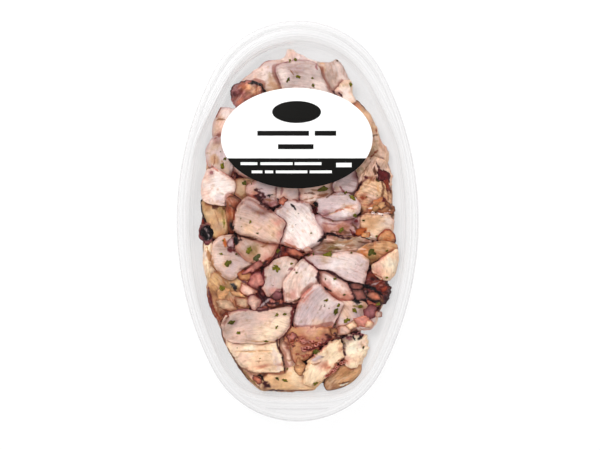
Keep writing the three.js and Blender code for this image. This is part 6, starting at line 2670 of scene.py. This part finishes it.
@dataclass
class Parsley:
    """Torn parsley leaves on top of the slices, and finer crumbs of them all over the heap."""

    heap: HeightMap
    bed: OctopusBed
    length: float = 3.4
    width: float = 2.2
    stand: float = 0.28
    leaf_scale: float = 1.1
    crumbs: int = 70
    crumb_sizes: Place = (0.15, 0.4)
    spread: float = 0.93
    seed: int = 5

    def leaf(self, leaf: Leaf) -> Skin:
        """An oval with a ragged edge, laid over the heap, curled up at its edge.

        Args:
            leaf: the leaf.

        Returns:
            The leaf's mesh.
        """
        angle = around(leaf.sides)
        share = np.linspace(1 / leaf.rings, 1, leaf.rings)[:, None]
        ragged = 0.85 + 0.4 * ring_clouds(angle, 2, 1.0, leaf.seed, 2)
        u = self.length / 2 * leaf.size * share * ragged * np.cos(angle)
        v = self.width / 2 * leaf.size * share * ragged * np.sin(angle)
        across, along = turned(u, v, leaf.turn)
        x = leaf.x + across
        y = leaf.y + along
        level = self.heap.top_at(np.array([leaf.x]), np.array([leaf.y]))[0]
        curl = 0.2 * leaf.size * clouds(x, y, 1.4, leaf.seed + 3) * share
        rest = np.clip(self.heap.top_at(x, y), level - 0.5, level + 0.6)
        top = rest + self.stand + curl
        under = rest + 0.02 + 0.9 * curl
        under[-1] = top[-1] = (under[-1] + top[-1]) / 2
        upper = np.stack([x, y, top], axis=-1)
        lower = np.stack([x, y, under], axis=-1)
        ends = (np.array([leaf.x, leaf.y, level + height]) for height in (0.02, self.stand))
        skin = Skin.closed(np.concatenate([lower[:-1], upper[::-1]]), *ends)
        number = scatter_numbers(leaf.seed)[0] ** 2
        tone = LEAF.shown + (DARK_LEAF.shown - LEAF.shown) * number
        skin.tint = np.tile(tone, (len(skin.points), 1))
        return skin

    def build(self, effects: Effects) -> bpy.types.Object:
        """Lays the large leaves and scatters the crumbs.

        Args:
            effects: the shared node groups.

        Returns:
            The finished piece.
        """
        leaves = [
            Leaf(x, y, turn, size * self.leaf_scale, order + 1, 5, 20)
            for order, (x, y, turn, size) in enumerate(LEAVES)
        ]
        random = np.random.default_rng(self.seed)
        angle = random.uniform(0, FULL_TURN, self.crumbs)
        far = np.sqrt(random.uniform(0, 1, self.crumbs)) * self.spread * self.bed.edge(angle)
        for order, (x, y) in enumerate(zip(far * np.cos(angle), far * np.sin(angle))):
            turn, size = random.uniform(0, 360), random.uniform(*self.crumb_sizes)
            leaves.append(Leaf(float(x), float(y), turn, size, 100 + order, 2, 9))
        skin = Skin.joined([self.leaf(leaf) for leaf in leaves])
        finish = FleshFinish("parsley_leaf", mottle_low=0.6, mottle_high=1.4, mottle_size=0.9, softness=0.05)
        return placed(skin.to_object("parsley", finish.material(effects)), Flesh.BED.value)


# ---------------------------------------------------------------- studio


@dataclass(frozen=True)
class Lamp:
    """A square soft lamp that faces the middle of the tray: its place, side and power in watts."""

    name: str
    at: tuple[float, float, float]
    size: float
    power: float

    def build(self) -> None:
        """Hangs the lamp."""
        data = bpy.data.lights.new(self.name, "AREA")
        data.shape = "SQUARE"
        data.size = self.size * MM
        data.energy = self.power
        lamp = bpy.data.objects.new(self.name, data)
        x, y, z = self.at
        lamp.location = (x * MM, y * MM, z * MM)
        lamp.rotation_euler = (0, math.atan2(math.hypot(x, y), z), math.atan2(y, x))
        bpy.context.scene.collection.objects.link(lamp)


@dataclass
class Studio:
    """A pale floor, soft light all round and a camera that looks straight down."""

    aim: Place = (1.43, -2.39)
    rim_height: float = 15.0
    distance: float = 995.0
    lens: float = 100.0
    sensor: float = 36.0
    side_strength: float = 0.72
    top_strength: float = 0.25
    floor_half: float = 2600.0
    floor_height: float = -0.05
    lamps: tuple[Lamp, ...] = (
        Lamp("key", (-420, 520, 900), 420, 7.6),
        Lamp("fill", (620, -120, 820), 620, 2.4),
        Lamp("back", (60, 900, 620), 420, 1.4),
    )

    def build(self, effects: Effects) -> None:
        """Makes the floor, the lights and the camera.

        Args:
            effects: the shared node groups.
        """
        scene = bpy.context.scene
        scene.view_settings.view_transform = "Standard"
        scene.view_settings.look = "None"
        signs = np.array([[-1, -1], [1, -1], [1, 1], [-1, 1]])
        corners = np.column_stack([signs * self.floor_half, np.full(4, self.floor_height)])
        blank = np.ones((4, 3))
        skin = Skin(corners, np.array([[0, 1, 2, 3]]), np.zeros((0, 3), int), blank, blank)
        skin.to_object("floor", FloorFinish("floor_matt").material(effects))
        self.world(scene)
        for lamp in self.lamps:
            lamp.build()
        data = bpy.data.cameras.new("camera")
        data.lens = self.lens
        data.sensor_width = self.sensor
        data.clip_start = 0.01
        camera = bpy.data.objects.new("camera", data)
        camera.location = (self.aim[0] * MM, self.aim[1] * MM, (self.rim_height + self.distance) * MM)
        scene.collection.objects.link(camera)
        scene.camera = camera

    def world(self, scene: bpy.types.Scene) -> None:
        """Soft light from all round, brighter from the sides than from straight above.

        Args:
            scene: the scene that gets it.
        """
        world = bpy.data.worlds.new("studio")
        world.use_nodes = True
        graph = Graph(world.node_tree)
        place = graph.add("TexCoord", {}, "Generated")
        height = graph.add("SeparateXYZ", {0: place}, "Z")
        levels = {"From Min": 0.55, "From Max": 0.97, "To Min": self.side_strength}
        strength = graph.add("MapRange", {"Value": height, **levels, "To Max": self.top_strength}, "Result")
        graph.feed(world.node_tree.nodes["Background"], {"Color": (1, 1, 1, 1), "Strength": strength})
        scene.world = world


# ---------------------------------------------------------------- the whole


@dataclass
class CreviceShade:
    """Turns the laid pieces into objects, with painted shade where a piece dips under its neighbours."""

    heap: HeightMap
    reach: int = 2
    rim_reach: int = 6
    soft: int = 1
    starts: float = 0.8
    depth: float = 2.3
    strength: float = 0.55
    broken: float = 0.75
    kept_at_rim: float = 0.1

    def build(self, laid: Sequence[Laid], effects: Effects) -> None:
        """Colours and makes every piece.

        Shade is painted on: a place is as dark as it lies under the soft highest heap round it. It is less
        dark at the heap's outer edge, and the painted shade comes and goes with slow clouds.

        Args:
            laid: the pieces, from the lowest up.
            effects: the shared node groups.
        """
        ground = self.heap.blurred(self.heap.spread(self.heap.values, self.reach), self.soft, 2)
        lowest = self.heap.blurred(-self.heap.spread(-self.heap.values, self.rim_reach), 2, 2)
        materials: dict[str, bpy.types.Material] = {}
        for piece in laid:
            x, y, z = piece.skin.points.T
            # Painted shade: how far each point lies under its neighbours.
            dark = self.strength * smooth(self.heap.sample(ground, x, y) - z, self.starts, self.depth)
            inner = smooth(self.heap.sample(lowest, x, y), 2.2, 4.5)
            dark *= self.kept_at_rim + (1 - self.kept_at_rim) * inner
            dark *= 1 - self.broken + self.broken * smooth(clouds(x, y, 9.0, 3.0, 2), -0.45, 0.35)
            # The colour of the painted shade: the tint darkened towards salmon and wine.
            shade = piece.skin.tint * SALMON.shown * 0.65 + WINE.shown * 0.3
            piece.skin.tint = toward(piece.skin.tint, shade, dark)
            if piece.finish.name not in materials:
                materials[piece.finish.name] = piece.finish.material(effects)
            made = piece.skin.to_object(piece.name, materials[piece.finish.name])
            placed(made, piece.slot, *([piece.node] if piece.node else []))


def main() -> None:
    """Builds the octopus tray and its studio, and logs how many points and faces each piece has."""
    logging.basicConfig(level=logging.INFO, format="%(name)s: %(message)s")
    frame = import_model()
    effects = Effects()
    sizes = TraySizes()
    heap = HeightMap()
    nodes = frame["nodes"]
    bed = OctopusBed(sizes, heap)
    ClearTray(sizes).build(effects)
    slices = SliceHeap(sizes, heap)
    bed.lay(nodes["octopus_bed"])
    bare = heap.values.copy()
    laid = [slices.lay(piece, order + 1, nodes[piece.name]) for order, piece in enumerate(SLICES)]
    laid.append(bed.lay(nodes["octopus_bed"], bed.swollen(bare)))
    laid.append(Lobes(heap).lay())
    laid.append(Suckers(heap).lay())
    CreviceShade(heap).build(laid, effects)
    Parsley(heap, bed).build(effects)
    LidFilm(sizes).build(effects)
    OvalLabel().build(effects)
    Studio().build(effects)


if __name__ == "__main__":
    main()
